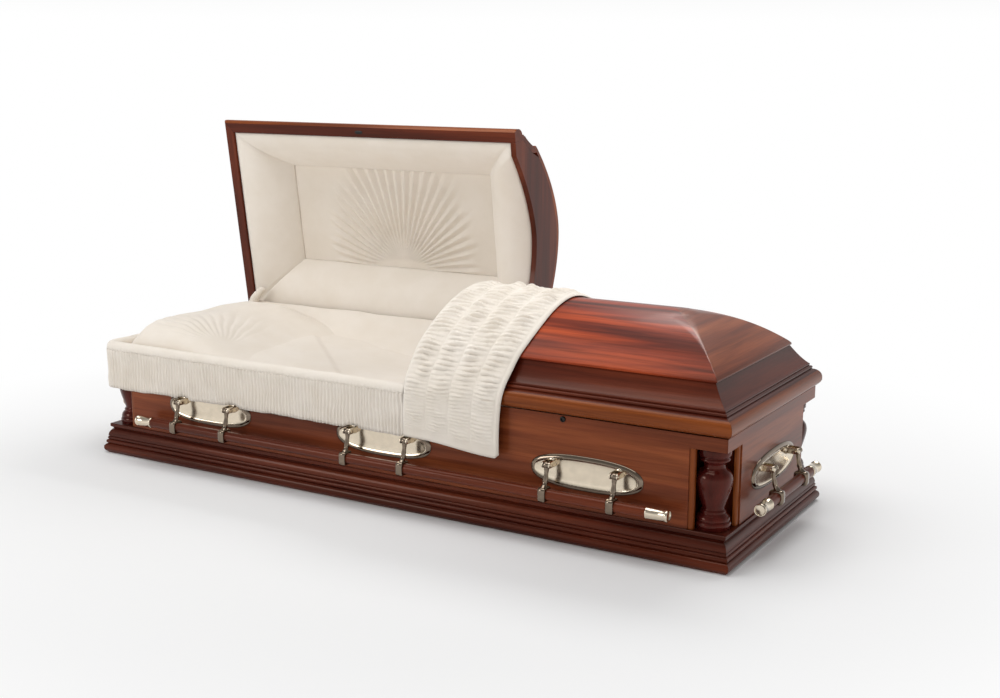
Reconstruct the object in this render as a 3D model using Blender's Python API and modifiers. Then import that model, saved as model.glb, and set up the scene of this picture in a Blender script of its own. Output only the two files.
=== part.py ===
"""Half-couch wooden casket: panelled shell with corner urns, two hinged lids, swing handles, soft interior.

X runs along the length with the foot end at +X, the front is at -Y and +Z is up. The origin is the centre
of the underside. Moulding profiles are (outward, height) points, outward from the faces of the body panels.
"""
import math

import bmesh
import bpy
from mathutils import Matrix, Vector

# Body
BODY_LENGTH = 2.092
BODY_WIDTH = 0.674
BODY_TOP = 0.341
PANEL_THICKNESS = 0.019
JOINT_GAP = 0.0003

# Base
BASE_HEIGHT = 0.095
BASE_SPREAD = 0.021
BASE_LEDGE = 0.004
BOTTOM_THICKNESS = 0.020

# Corner niches and urns
NICHE_WIDTH = 0.100
FRIEZE_HEIGHT = 0.0355
POST_WALL = 0.019
POST_CEILING = 0.019
URN_RADIUS = 0.0455
URN_SIDE_GAP = 0.0020
URN_END_GAP = 0.0010

# Lids
SPLIT_X = 0.105
SPLIT_GAP = 0.006
LID_REST_GAP = 0.005
LID_SPREAD = 0.0136
LID_FILLET = 0.011
QUARTER_ROUND = 0.027
BEAD = 0.0045
RIM_LAND = 0.026
RAIL_SHOULDER = 0.049
RAIL_NECK = 0.099
COVE_BOTTOM = 0.065
COVE_TOP = 0.117
COVE_HOLLOW = 0.003
CROWN_INSET = 0.057
CROWN_LIP = 0.007
CROWN_LAND = 0.0215
CROWN_SHELL = 0.014
CROWN_RISE = 0.117
CROWN_CURVE = 1.8
END_SLOPE_RUN = 0.233
HEADER_THICKNESS = 0.018
HEADER_SHOULDER = 0.040
HEADER_ARCH_RISE = 0.094
OPEN_ANGLE = 82.0
HINGE_OUTSET = 0.010

# Handles
PLATE_LENGTH = 0.325
PLATE_HEIGHT = 0.094
PLATE_EDGE = 0.0065
PLATE_FIELD = 0.0035
PLATE_RIM = 0.009
HEAD_PLATE_INSET = 0.421
FOOT_PLATE_INSET = 0.384
MIDDLE_PLATE_SHIFT = 0.020
ARM_SPACING = 0.195
PIVOT_RISE = 0.0195
PIVOT_OUT = 0.0356
PIVOT_RADIUS = 0.0085
PIVOT_HEADROOM = 0.0015
ARM_WIDTH = 0.016
ARM_STEM = 0.010
ARM_DROP = 0.0748
ARM_LEAN = 0.0122
CHEEK_WIDTH = 0.004
PIVOT_PLAY = 0.0004
BAR_RADIUS = 0.0145
BAR_TIP_RADIUS = 0.0165
BAR_TIP_LENGTH = 0.060
BAR_CLEARANCE = 0.0004
CUP_WALL = 0.0045
SIDE_BAR_REACH = 0.225
END_BAR_REACH = 0.195

# Soft pieces
LINING_THICKNESS = 0.003
LINING_TUCK = 0.013
SKIRT_STANDOFF = 0.016
SKIRT_DROP = 0.113
MATTRESS_DEPTH = 0.056
MATTRESS_THICKNESS = 0.095
MATTRESS_SIDE_GAP = 0.010
MATTRESS_RAISE = 0.045
RAISE_RUN = 0.420
RAISE_FLAT = 0.440
BED_BOARD_THICKNESS = 0.012
PILLOW_LENGTH = 0.380
PILLOW_WIDTH = 0.520
PILLOW_HEIGHT = 0.065
PILLOW_EDGE = 0.012
PILLOW_HEAD_GAP = 0.042
BOLSTER_WIDTH = 0.150
LID_LINING_THICKNESS = 0.006
LID_LINING_SET_BACK = 0.006
LID_PANEL_DEPTH = 0.110
OVERLAY_WIDTH = 0.285
OVERLAY_THICKNESS = 0.006
OVERLAY_CLEARANCE = 0.003
OVERLAY_STANDOFF = 0.026
OVERLAY_DROP = 0.1185
OVERLAY_BACK_Y = 0.215

# Worked-out places
HALF_LENGTH = BODY_LENGTH / 2
HALF_WIDTH = BODY_WIDTH / 2
RIM_BOTTOM = BODY_TOP + LID_REST_GAP
HINGE_Y = HALF_WIDTH + HINGE_OUTSET
HINGE_Z = BODY_TOP + LID_REST_GAP / 2
NICHE_TOP = BODY_TOP - FRIEZE_HEIGHT
URN_INSET = NICHE_WIDTH - URN_RADIUS - URN_SIDE_GAP
SKIRT_BOTTOM = BODY_TOP - SKIRT_DROP
MATTRESS_TOP = BODY_TOP - MATTRESS_DEPTH
OVERLAY_BOTTOM = BODY_TOP - OVERLAY_DROP
PIVOT_Z = OVERLAY_BOTTOM - PIVOT_HEADROOM - PIVOT_RADIUS
PLATE_Z = PIVOT_Z - PIVOT_RISE
CROWN_BOTTOM = RIM_BOTTOM + COVE_TOP + JOINT_GAP
CROWN_HALF_WIDTH = HALF_WIDTH - CROWN_INSET
CROWN_END_X = HALF_LENGTH - CROWN_INSET
SIDE_PLATE_XS = (HEAD_PLATE_INSET - HALF_LENGTH, MIDDLE_PLATE_SHIFT, HALF_LENGTH - FOOT_PLATE_INSET)

FRONT, FOOT, BACK, HEAD = 0.0, 90.0, 180.0, 270.0
SIDES = {"front": FRONT, "foot": FOOT, "back": BACK, "head": HEAD}

LACQUERED_WOOD = dict(color=(0.16, 0.035, 0.015, 1), roughness=0.22, metallic=0.0)
DARK_WOOD = dict(color=(0.07, 0.012, 0.010, 1), roughness=0.15, metallic=0.0)
PLAIN_WOOD = dict(color=(0.30, 0.17, 0.09, 1), roughness=0.6, metallic=0.0)
NICKEL = dict(color=(0.62, 0.55, 0.47, 1), roughness=0.22, metallic=1.0)
VELVET = dict(color=(0.83, 0.77, 0.68, 1), roughness=0.9, metallic=0.0)


def clear_scene():
    for old in list(bpy.data.objects):
        bpy.data.objects.remove(old, do_unlink=True)


def new_collection(name):
    collection = bpy.data.collections.new(name)
    bpy.context.scene.collection.children.link(collection)
    return collection


def make_material(name, finish):
    material = bpy.data.materials.new(name)
    material.use_nodes = True
    shader = material.node_tree.nodes["Principled BSDF"]
    shader.inputs["Base Color"].default_value = finish["color"]
    shader.inputs["Roughness"].default_value = finish["roughness"]
    shader.inputs["Metallic"].default_value = finish["metallic"]
    return material


clear_scene()
PARTS = new_collection("casket")
CUTTERS = new_collection("cutters")


def add_object(name, mesh, finish, smooth=False):
    """Put a mesh in the scene as a named piece with a material of its own."""
    piece = bpy.data.objects.new(name, mesh)
    PARTS.objects.link(piece)
    if not mesh.materials:
        mesh.materials.append(make_material(name, finish))
    if smooth:
        mesh.shade_smooth()
        mesh.set_sharp_from_angle(angle=math.radians(35))
    return piece


def mesh_from(name, bm):
    bmesh.ops.recalc_face_normals(bm, faces=bm.faces)
    mesh = bpy.data.meshes.new(name)
    bm.to_mesh(mesh)
    bm.free()
    return mesh


def extruded(name, outline, start, end):
    """A flat outline of (y, z) points carried along X from start to end."""
    bm = bmesh.new()
    face = bm.faces.new([bm.verts.new((start, y, z)) for y, z in outline])
    grown = bmesh.ops.extrude_face_region(bm, geom=[face])
    moved = [v for v in grown["geom"] if isinstance(v, bmesh.types.BMVert)]
    bmesh.ops.translate(bm, verts=moved, vec=(end - start, 0, 0))
    return mesh_from(name, bm)


def box(name, low, high):
    """A box between two corners."""
    bm = bmesh.new()
    bmesh.ops.create_cube(bm, size=1.0)
    size = Vector(high) - Vector(low)
    centre = (Vector(high) + Vector(low)) / 2
    bmesh.ops.scale(bm, vec=size, verts=bm.verts)
    bmesh.ops.translate(bm, vec=centre, verts=bm.verts)
    return mesh_from(name, bm)


def turned(name, profile, steps, axis="Z"):
    """A (radius, height) profile, top to bottom, turned round an axis with both ends closed."""
    mesh = bpy.data.meshes.new(name + "_profile")
    points = [(0.0, 0.0, profile[0][1])] + [(r, 0.0, z) for r, z in profile] + [(0.0, 0.0, profile[-1][1])]
    mesh.from_pydata(points, [(i, i + 1) for i in range(len(points) - 1)], [])
    guide = bpy.data.objects.new(name + "_profile", mesh)
    PARTS.objects.link(guide)
    screw = guide.modifiers.new("turn", "SCREW")
    screw.steps = steps
    screw.render_steps = steps
    screw.use_merge_vertices = True
    screw.merge_threshold = 0.00001
    result = baked(guide, name)
    if axis == "X":
        result.transform(Matrix.Rotation(math.radians(90), 4, "Y"))
    return result


def baked(guide, name):
    """The evaluated mesh of an object, which is then removed."""
    bpy.context.view_layer.update()
    depsgraph = bpy.context.evaluated_depsgraph_get()
    mesh = bpy.data.meshes.new_from_object(guide.evaluated_get(depsgraph))
    mesh.name = name
    bpy.data.objects.remove(guide, do_unlink=True)
    return mesh


def combined(name, body, others, operation):
    """One mesh from a body and others, joined or cut by a Boolean."""
    piece = bpy.data.objects.new(name, body)
    PARTS.objects.link(piece)
    helpers = []
    for index, other in enumerate(others):
        helper = bpy.data.objects.new(f"{name}_{operation.lower()}_{index}", other)
        helper.display_type = "WIRE"
        helper.hide_render = True
        CUTTERS.objects.link(helper)
        modifier = piece.modifiers.new(helper.name, "BOOLEAN")
        modifier.operation = operation
        modifier.solver = "EXACT"
        modifier.object = helper
        helpers.append(helper)
    mesh = baked(piece, name)
    for helper in helpers:
        bpy.data.objects.remove(helper, do_unlink=True)
    return mesh


def lofted(name, rings, cyclic=True):
    """Skin a stack of equal rings; open rings are closed by a face across each of their two ends."""
    bm = bmesh.new()
    rows = [[bm.verts.new(point) for point in ring] for ring in rings]
    count = len(rows[0])
    spans = range(count) if cyclic else range(count - 1)
    for low, high in zip(rows, rows[1:]):
        for i in spans:
            bm.faces.new((low[i], low[(i + 1) % count], high[(i + 1) % count], high[i]))
    if cyclic:
        bm.faces.new(reversed(rows[0]))
        bm.faces.new(rows[-1])
    else:
        bm.faces.new([row[0] for row in rows])
        bm.faces.new([row[-1] for row in reversed(rows)])
    bmesh.ops.remove_doubles(bm, verts=bm.verts, dist=0.00001)
    return mesh_from(name, bm)


def turned_about(side):
    """Carries a piece drawn at the front onto another side of the body."""
    return Matrix.Rotation(math.radians(SIDES[side]), 4, "Z")


def half_run(side):
    """Half the length of a side, and how far its face stands from the centre."""
    if side in ("front", "back"):
        return HALF_LENGTH, HALF_WIDTH
    return HALF_WIDTH, HALF_LENGTH


def arc(centre, radius, start, end, steps):
    """Points on an arc, angles in degrees."""
    angles = [math.radians(start + (end - start) * i / steps) for i in range(steps + 1)]
    return [(centre[0] + radius * math.cos(a), centre[1] + radius * math.sin(a)) for a in angles]


def rail(name, profile, side, start, end, mitre_start, mitre_end, finish=LACQUERED_WOOD):
    """A moulding along one side; a mitred end leans with the profile, a square end is cut across."""
    plane = half_run(side)[1]

    def ring(at, mitred, outward):
        lean = outward if mitred else 0.0
        return [(at + (d - JOINT_GAP) * lean, -(plane + d), z) for d, z in profile]

    mesh = lofted(name, [ring(start, mitre_start, -1.0), ring(end, mitre_end, 1.0)])
    mesh.transform(turned_about(side))
    return add_object(name, mesh, finish)


# Shell

def base_profile():
    """Foot bead, two reeds, a broad ovolo and a thin ledge, each a share of the rail's height."""
    unit = BASE_HEIGHT / 19
    bead_radius = 2.9 * unit
    bead = arc((BASE_SPREAD - bead_radius, 3.2 * unit), bead_radius, -75, 75, 6)
    reed = arc((BASE_SPREAD - 2.5 * unit, 7.3 * unit), 1.3 * unit, -60, 60, 3)
    upper_reed = arc((BASE_SPREAD - 3.1 * unit, 9.6 * unit), 1.1 * unit, -60, 60, 3)
    ovolo = arc((BASE_SPREAD - 7.8 * unit, 10.9 * unit), 5.5 * unit, 0, 58, 5)
    ledge = [(BASE_LEDGE - 0.8 * unit, 16.6 * unit), (BASE_LEDGE, 17 * unit), (BASE_LEDGE, BASE_HEIGHT)]
    inner = [(-PANEL_THICKNESS, BASE_HEIGHT), (-PANEL_THICKNESS, 0.0), (BASE_SPREAD - 2 * unit, 0.0)]
    return bead + reed + upper_reed + ovolo + ledge + inner


def build_base():
    profile = base_profile()
    for side in SIDES:
        run = half_run(side)[0]
        rail(f"base_rail_{side}", profile, side, -run, run, True, True)
    edge = PANEL_THICKNESS + JOINT_GAP
    low = (-HALF_LENGTH + edge, -HALF_WIDTH + edge, 0.0)
    high = (HALF_LENGTH - edge, HALF_WIDTH - edge, BOTTOM_THICKNESS)
    add_object("bottom_board", box("bottom_board", low, high), PLAIN_WOOD)


def build_panels():
    """Side and end panels, mitred at the corners and notched below the frieze at each niche."""
    bottom = BASE_HEIGHT + JOINT_GAP
    profile = [(0.0, bottom), (0.0, BODY_TOP), (-PANEL_THICKNESS, BODY_TOP), (-PANEL_THICKNESS, bottom)]
    for side in SIDES:
        run, plane = half_run(side)
        name = f"panel_{side}"
        panel = rail(name, profile, side, -run, run, True, True)
        notches = []
        for end in (-1, 1):
            xs = sorted((end * (run - NICHE_WIDTH), end * (run + BASE_SPREAD)))
            notch = box("notch", (xs[0], -plane - BASE_SPREAD, 0.0), (xs[1], -plane + 2 * PANEL_THICKNESS, NICHE_TOP))
            notch.transform(turned_about(side))
            notches.append(notch)
        mesh = combined(name, panel.data, notches, "DIFFERENCE")
        bpy.data.objects.remove(panel, do_unlink=True)
        add_object(name, mesh, LACQUERED_WOOD)


def corner_signs():
    return {"front_foot": (1, -1), "back_foot": (1, 1), "back_head": (-1, 1), "front_head": (-1, -1)}


def build_corner_posts():
    """A block in each corner, cut away outside to make the niche that the urn stands in."""
    for corner, (sx, sy) in corner_signs().items():
        inner = NICHE_WIDTH + POST_WALL
        outer = PANEL_THICKNESS + JOINT_GAP
        low = Vector((HALF_LENGTH - inner, HALF_WIDTH - inner, BOTTOM_THICKNESS + JOINT_GAP))
        high = Vector((HALF_LENGTH - outer, HALF_WIDTH - outer, NICHE_TOP + POST_CEILING))
        niche_low = (HALF_LENGTH - NICHE_WIDTH, HALF_WIDTH - NICHE_WIDTH, BASE_HEIGHT)
        niche_high = (HALF_LENGTH + BASE_SPREAD, HALF_WIDTH + BASE_SPREAD, NICHE_TOP)
        name = f"corner_post_{corner}"
        mesh = combined(name, box(name, low, high), [box("niche", niche_low, niche_high)], "DIFFERENCE")
        mirror = Matrix.Diagonal((sx, sy, 1, 1))
        mesh.transform(mirror)
        if sx * sy < 0:
            mesh.flip_normals()
        add_object(name, mesh, LACQUERED_WOOD)


def urn_profile():
    """Square-shouldered cap, bead, round shoulder, waist and bell foot, as shares of height and radius."""
    height = NICHE_TOP - BASE_HEIGHT - 2 * URN_END_GAP
    shares = [(0.86, 1.00), (0.88, 0.87), (0.80, 0.85), (0.84, 0.82), (0.66, 0.75), (0.60, 0.71), (0.84, 0.66),
              (1.00, 0.60), (0.98, 0.53), (0.80, 0.40), (0.64, 0.27), (0.62, 0.22), (0.84, 0.13), (0.94, 0.08),
              (0.92, 0.00)]
    return [(URN_RADIUS * r, height * h) for r, h in shares]


def build_urns():
    mesh = turned("urn", urn_profile(), 16)
    for corner, (sx, sy) in corner_signs().items():
        own = mesh.copy()
        own.materials.clear()
        urn = add_object(f"urn_{corner}", own, DARK_WOOD, smooth=True)
        urn.location = (sx * (HALF_LENGTH - URN_INSET), sy * (HALF_WIDTH - URN_INSET), BASE_HEIGHT + URN_END_GAP)


# Lids

def lid_profile():
    """Small fillet, quarter-round, two beads and a deep cove under the crown."""
    bottom = RIM_BOTTOM
    fillet = [(LID_SPREAD - 0.7 * LID_FILLET, bottom), (LID_SPREAD, bottom + LID_FILLET)]
    middle = bottom + LID_FILLET + 1.6 * BEAD
    quarter = arc((LID_SPREAD - QUARTER_ROUND, middle), QUARTER_ROUND, 0, 75, 5)
    low = (LID_SPREAD - QUARTER_ROUND, middle + QUARTER_ROUND + BEAD)
    beads = arc(low, BEAD, -50, 60, 3) + arc((low[0] - 1.2 * BEAD, low[1] + 2 * BEAD), 0.8 * BEAD, -50, 70, 3)
    cove_start = low[0] - 1.8 * BEAD
    cove_end = -CROWN_INSET - BEAD
    cove = []
    for i in range(1, 6):
        share = i / 5
        hollow = COVE_HOLLOW * math.sin(math.pi * share)
        outward = cove_start + (cove_end - cove_start) * share
        cove.append((outward, bottom + COVE_BOTTOM + (COVE_TOP - COVE_BOTTOM) * share - hollow))
    inner = [(-CROWN_INSET - CROWN_LAND, bottom + COVE_TOP), (-CROWN_INSET - 0.8 * CROWN_LAND, bottom + RAIL_NECK),
             (-RIM_LAND, bottom + RAIL_SHOULDER), (-RIM_LAND, bottom)]
    return fillet + quarter + beads + cove + inner


def crown_height(share):
    """Height of the crown over a share of the way in from its edge to the ridge."""
    return CROWN_BOTTOM + CROWN_LIP + CROWN_RISE * (1 - (1 - share) ** CROWN_CURVE)


def crown_ring(share, z, cut_x, inset=0.0):
    """A U of four points round the open-ended dome at one share of the slope."""
    y = (CROWN_HALF_WIDTH - inset) * (1 - share)
    x = CROWN_END_X - inset - END_SLOPE_RUN * share
    return [(cut_x, -y, z), (x, -y, z), (x, y, z), (cut_x, y, z)]


def crown_shell(name, cut_x):
    """The domed shell: inner face from the ridge down, across the edge, and outer face back up."""
    steps = 8
    shares = [i / steps for i in range(steps + 1)]
    first = next(s for s in shares if crown_height(s) - CROWN_SHELL > CROWN_BOTTOM + CROWN_LIP / 2)
    inner = [crown_ring(s, crown_height(s) - CROWN_SHELL, cut_x) for s in reversed(shares) if s >= first]
    edge = [crown_ring(0.0, CROWN_BOTTOM, cut_x, CROWN_LAND), crown_ring(0.0, CROWN_BOTTOM, cut_x)]
    outer = [crown_ring(s, crown_height(s), cut_x) for s in shares]
    return lofted(name, inner + edge + outer, cyclic=False)


def header_outline():
    """The cross board at the cut end: an arched lower edge, its top let into the crown."""
    bottom = RIM_BOTTOM
    side = HALF_WIDTH - RIM_LAND - JOINT_GAP
    arch_half = side - HEADER_SHOULDER
    steps = 10
    lower = []
    for i in range(steps + 1):
        y = -arch_half + 2 * arch_half * i / steps
        lower.append((y, bottom + HEADER_ARCH_RISE * (1 - (abs(y) / arch_half) ** 1.7)))
    neck = CROWN_HALF_WIDTH - 0.8 * CROWN_LAND - 2 * JOINT_GAP
    flank = [(side, bottom), (side, bottom + RAIL_SHOULDER - JOINT_GAP), (neck, bottom + RAIL_NECK - JOINT_GAP)]
    upper_shares = [0.16, 0.35, 0.6, 0.8, 1.0]
    top = [(CROWN_HALF_WIDTH * (1 - s), crown_height(s) - CROWN_SHELL / 2) for s in upper_shares]
    mirrored_top = [(-y, z) for y, z in reversed(top[:-1])]
    mirrored_flank = [(-y, z) for y, z in reversed(flank)]
    return lower + flank + top + mirrored_top + mirrored_flank


def opened(mesh):
    """Swings a piece of the head lid back from closed to open."""
    pivot = Matrix.Translation((0, HINGE_Y, HINGE_Z))
    swing = Matrix.Rotation(math.radians(-OPEN_ANGLE), 4, "X")
    mesh.transform(pivot @ swing @ pivot.inverted())
    return mesh


def hinge_empty(name):
    empty = bpy.data.objects.new(name, None)
    empty.location = (0, HINGE_Y, HINGE_Z)
    PARTS.objects.link(empty)
    return empty


def hang_on(empty, piece):
    """Parents a piece to its hinge without moving it."""
    piece.parent = empty
    piece.matrix_parent_inverse = Matrix.Translation(empty.location).inverted()


def build_lid(which, hinge):
    """Three moulded rails, and the crown with its header, on one side of the split."""
    profile = lid_profile()
    foot = which == "foot"
    cut = SPLIT_X + SPLIT_GAP / 2 if foot else SPLIT_X - SPLIT_GAP / 2
    spans = {"front": (cut, HALF_LENGTH) if foot else (-HALF_LENGTH, cut),
             "back": (-HALF_LENGTH, -cut) if foot else (-cut, HALF_LENGTH),
             "end": (-HALF_WIDTH, HALF_WIDTH)}
    mitres = {"front": (not foot, foot), "back": (foot, not foot), "end": (True, True)}
    pieces = []
    for part, (start, end) in spans.items():
        side = which if part == "end" else part
        pieces.append(rail(f"{which}_lid_rail_{part}", profile, side, start, end, *mitres[part]))
    reach = cut if foot else -cut
    name = f"{which}_lid_crown"
    header = extruded("header", header_outline(), reach, reach + HEADER_THICKNESS)
    mesh = combined(name, crown_shell(name, reach), [header], "UNION")
    if not foot:
        mesh.transform(Matrix.Rotation(math.pi, 4, "Z"))
    pieces.append(add_object(name, mesh, LACQUERED_WOOD, smooth=True))
    for piece in pieces:
        if not foot:
            opened(piece.data)
        hang_on(hinge, piece)


# Handles

def oval(scale_x, scale_z, y):
    """A full-ended oval ring in the face of a plate."""
    points = []
    for i in range(24):
        a = 2 * math.pi * i / 24
        c, s = math.cos(a), math.sin(a)
        points.append((math.copysign(abs(c) ** 0.8, c) * scale_x, y, math.copysign(abs(s) ** 0.8, s) * scale_z))
    return points


def plate_mesh():
    """Raised-rim oval with two forked lugs standing out to carry the arms."""
    half_length, half_height = PLATE_LENGTH / 2, PLATE_HEIGHT / 2
    rings = [oval(half_length, half_height, -JOINT_GAP),
             oval(half_length, half_height, -PLATE_EDGE * 0.6),
             oval(half_length - PLATE_RIM / 2, half_height - PLATE_RIM / 2, -PLATE_EDGE),
             oval(half_length - PLATE_RIM, half_height - PLATE_RIM, -PLATE_FIELD)]
    body = lofted("plate", rings)
    root = -JOINT_GAP * 2
    cheek = [(root, PIVOT_RISE - PIVOT_RADIUS)]
    cheek += arc((-PIVOT_OUT, PIVOT_RISE), PIVOT_RADIUS, 270, 90, 5)
    cheek += [(root, PIVOT_RISE + PIVOT_RADIUS)]
    cheeks = []
    inside = ARM_WIDTH / 2 + PIVOT_PLAY
    for arm in (-1, 1):
        for flank in (-1, 1):
            xs = sorted((flank * inside, flank * (inside + CHEEK_WIDTH)))
            middle = arm * ARM_SPACING / 2
            cheeks.append(extruded("cheek", cheek, middle + xs[0], middle + xs[1]))
    return combined("plate", body, cheeks, "UNION")


def arm_mesh():
    """Round eye, S-curved stem and a square cup bored for the bar; the pivot is the origin."""
    half_cup = BAR_RADIUS + BAR_CLEARANCE + CUP_WALL
    left, right = -ARM_LEAN - half_cup, -ARM_LEAN + half_cup
    top, bottom = -ARM_DROP + half_cup, -ARM_DROP - half_cup
    stem = ARM_STEM / 2
    outline = arc((0, 0), PIVOT_RADIUS, -55, 235, 9)
    outline += [(-stem - 0.001, -0.014), (-stem - 0.006, -0.028), (-stem - 0.006, -0.042)]
    outline += [(left, top), (left, bottom), (right, bottom), (right, top)]
    outline += [(stem - 0.003, -0.042), (stem - 0.004, -0.028), (stem, -0.014)]
    body = extruded("arm", outline, -ARM_WIDTH / 2, ARM_WIDTH / 2)
    bore = turned("bore", [(BAR_RADIUS + BAR_CLEARANCE, ARM_WIDTH), (BAR_RADIUS + BAR_CLEARANCE, -ARM_WIDTH)], 14, "X")
    bore.transform(Matrix.Translation((0, -ARM_LEAN, -ARM_DROP)))
    return combined("arm", body, [bore], "DIFFERENCE")


def bar_mesh(half_length):
    """Round wooden bar with a collared metal tip at each end."""
    tip = half_length - BAR_TIP_LENGTH
    half = [(BAR_TIP_RADIUS - 0.003, half_length), (BAR_TIP_RADIUS, half_length - 0.003),
            (BAR_TIP_RADIUS, tip), (BAR_RADIUS, tip)]
    return turned("bar", half + [(r, -x) for r, x in reversed(half)], 14, "X")


def build_handles(side, centres, reach):
    """Plates along one side with their arms, and the bar that the arms carry."""
    plane = half_run(side)[1]
    place = turned_about(side)
    hinge = bpy.data.objects.new(f"{side}_bar_hinge", None)
    hinge.matrix_world = place @ Matrix.Translation((0, -plane - PIVOT_OUT, PIVOT_Z))
    PARTS.objects.link(hinge)
    plate, arm = plate_mesh(), arm_mesh()
    swinging = []
    for index, x in enumerate(centres):
        tail = f"_{index + 1}" if len(centres) > 1 else ""
        fixed = plate.copy()
        fixed.transform(place @ Matrix.Translation((x, -plane, PLATE_Z)))
        add_object(f"{side}_plate{tail}", fixed, NICKEL)
        for step, offset in enumerate((-ARM_SPACING / 2, ARM_SPACING / 2)):
            own = arm.copy()
            own.transform(place @ Matrix.Translation((x + offset, -plane - PIVOT_OUT, PIVOT_Z)))
            swinging.append(add_object(f"{side}_arm_{2 * index + step + 1}", own, NICKEL))
    half_length = (centres[-1] - centres[0]) / 2 + reach + BAR_TIP_LENGTH / 2
    middle = (centres[-1] + centres[0]) / 2
    bar = bar_mesh(half_length)
    bar_y = -plane - PIVOT_OUT - ARM_LEAN
    bar.transform(place @ Matrix.Translation((middle, bar_y, PIVOT_Z - ARM_DROP)))
    swinging.append(add_object(f"{side}_bar", bar, LACQUERED_WOOD, smooth=True))
    bpy.context.view_layer.update()
    for piece in swinging:
        piece.parent = hinge
        piece.matrix_parent_inverse = hinge.matrix_world.inverted()


# Soft pieces

def offset_path(path, distance):
    """The same path shifted sideways to its left by a distance."""
    shifted = []
    for i, (y, z) in enumerate(path):
        before = path[max(i - 1, 0)]
        after = path[min(i + 1, len(path) - 1)]
        along = Vector((after[0] - before[0], after[1] - before[1])).normalized()
        shifted.append((y - along.y * distance, z + along.x * distance))
    return shifted


def build_body_lining():
    """Thin cloth over the front and head rims, tucked inside and hanging outside as a skirt."""
    tuck = -PANEL_THICKNESS - 2 * JOINT_GAP
    over = BODY_TOP + JOINT_GAP
    path = [(tuck, BODY_TOP - LINING_TUCK), (tuck, over), (2 * JOINT_GAP, over), (0.011, over - 0.006),
            (SKIRT_STANDOFF - 0.002, over - 0.018), (SKIRT_STANDOFF, over - 0.035), (SKIRT_STANDOFF, SKIRT_BOTTOM)]
    outer = offset_path(path, LINING_THICKNESS)
    outer[0] = (tuck - LINING_THICKNESS, path[0][1])
    outer[1] = (tuck - LINING_THICKNESS, over + LINING_THICKNESS)
    profile = path + list(reversed(outer))
    end = SPLIT_X - SPLIT_GAP / 2

    def station(corner_x, corner_y, lean_x, lean_y):
        return [(corner_x + d * lean_x, corner_y + d * lean_y, z) for d, z in profile]

    rings = [station(end, -HALF_WIDTH, 0, -1),
             station(-HALF_LENGTH, -HALF_WIDTH, -1, -1),
             station(-HALF_LENGTH, HALF_WIDTH - PANEL_THICKNESS, -1, 0)]
    add_object("body_lining", lofted("body_lining", rings), VELVET)


def build_bed():
    """Board across the shell and the mattress on it, raised towards the head and cut round the corner posts."""
    half_length = HALF_LENGTH - NICHE_WIDTH - POST_WALL - JOINT_GAP
    half_width = HALF_WIDTH - PANEL_THICKNESS - JOINT_GAP
    top = MATTRESS_TOP - MATTRESS_THICKNESS - JOINT_GAP
    low = (-half_length, -half_width, top - BED_BOARD_THICKNESS)
    add_object("bed_board", box("bed_board", low, (half_length, half_width, top)), PLAIN_WOOD)
    long = HALF_LENGTH - PANEL_THICKNESS - MATTRESS_SIDE_GAP
    wide = half_width - MATTRESS_SIDE_GAP
    bottom, raised = MATTRESS_TOP - MATTRESS_THICKNESS, MATTRESS_TOP + MATTRESS_RAISE
    outline = [(-long, bottom), (long, bottom), (long, MATTRESS_TOP), (RAISE_FLAT + RAISE_RUN - long, MATTRESS_TOP),
               (RAISE_FLAT - long, raised), (-long, raised)]
    mesh = extruded("mattress", outline, -wide, wide)
    mesh.transform(Matrix.Rotation(math.radians(-90), 4, "Z"))
    inner = NICHE_WIDTH + POST_WALL + MATTRESS_SIDE_GAP
    corners = []
    for sx, sy in corner_signs().values():
        xs = sorted((sx * (HALF_LENGTH - inner), sx * HALF_LENGTH))
        ys = sorted((sy * (HALF_WIDTH - inner), sy * HALF_WIDTH))
        corners.append(box("corner", (xs[0], ys[0], 0), (xs[1], ys[1], BODY_TOP + MATTRESS_RAISE)))
    mattress = add_object("mattress", combined("mattress", mesh, corners, "DIFFERENCE"), VELVET)
    bevel = mattress.modifiers.new("soft edges", "BEVEL")
    bevel.width = MATTRESS_THICKNESS * 0.3
    bevel.segments = 2


def build_pillow():
    """Loaf-shaped pillow on the raised end of the mattress."""
    start = -HALF_LENGTH + PANEL_THICKNESS + PILLOW_HEAD_GAP
    rows, columns = 8, 8
    base = MATTRESS_TOP + MATTRESS_RAISE + JOINT_GAP
    rings = []
    for i in range(rows + 1):
        along = i / rows
        lift = (1 - (2 * along - 1) ** 2) ** 0.5
        ring = []
        for j in range(columns + 1):
            across = j / columns
            swell = (1 - abs(2 * across - 1) ** 3) ** 0.5
            height = PILLOW_EDGE + (PILLOW_HEIGHT - PILLOW_EDGE) * lift * swell
            ring.append((start + PILLOW_LENGTH * along, PILLOW_WIDTH * (across - 0.5), base + height))
        ring += [(start + PILLOW_LENGTH * along, PILLOW_WIDTH / 2, base),
                 (start + PILLOW_LENGTH * along, -PILLOW_WIDTH / 2, base)]
        rings.append(ring)
    add_object("pillow", lofted("pillow", rings), VELVET, smooth=True)


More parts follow.
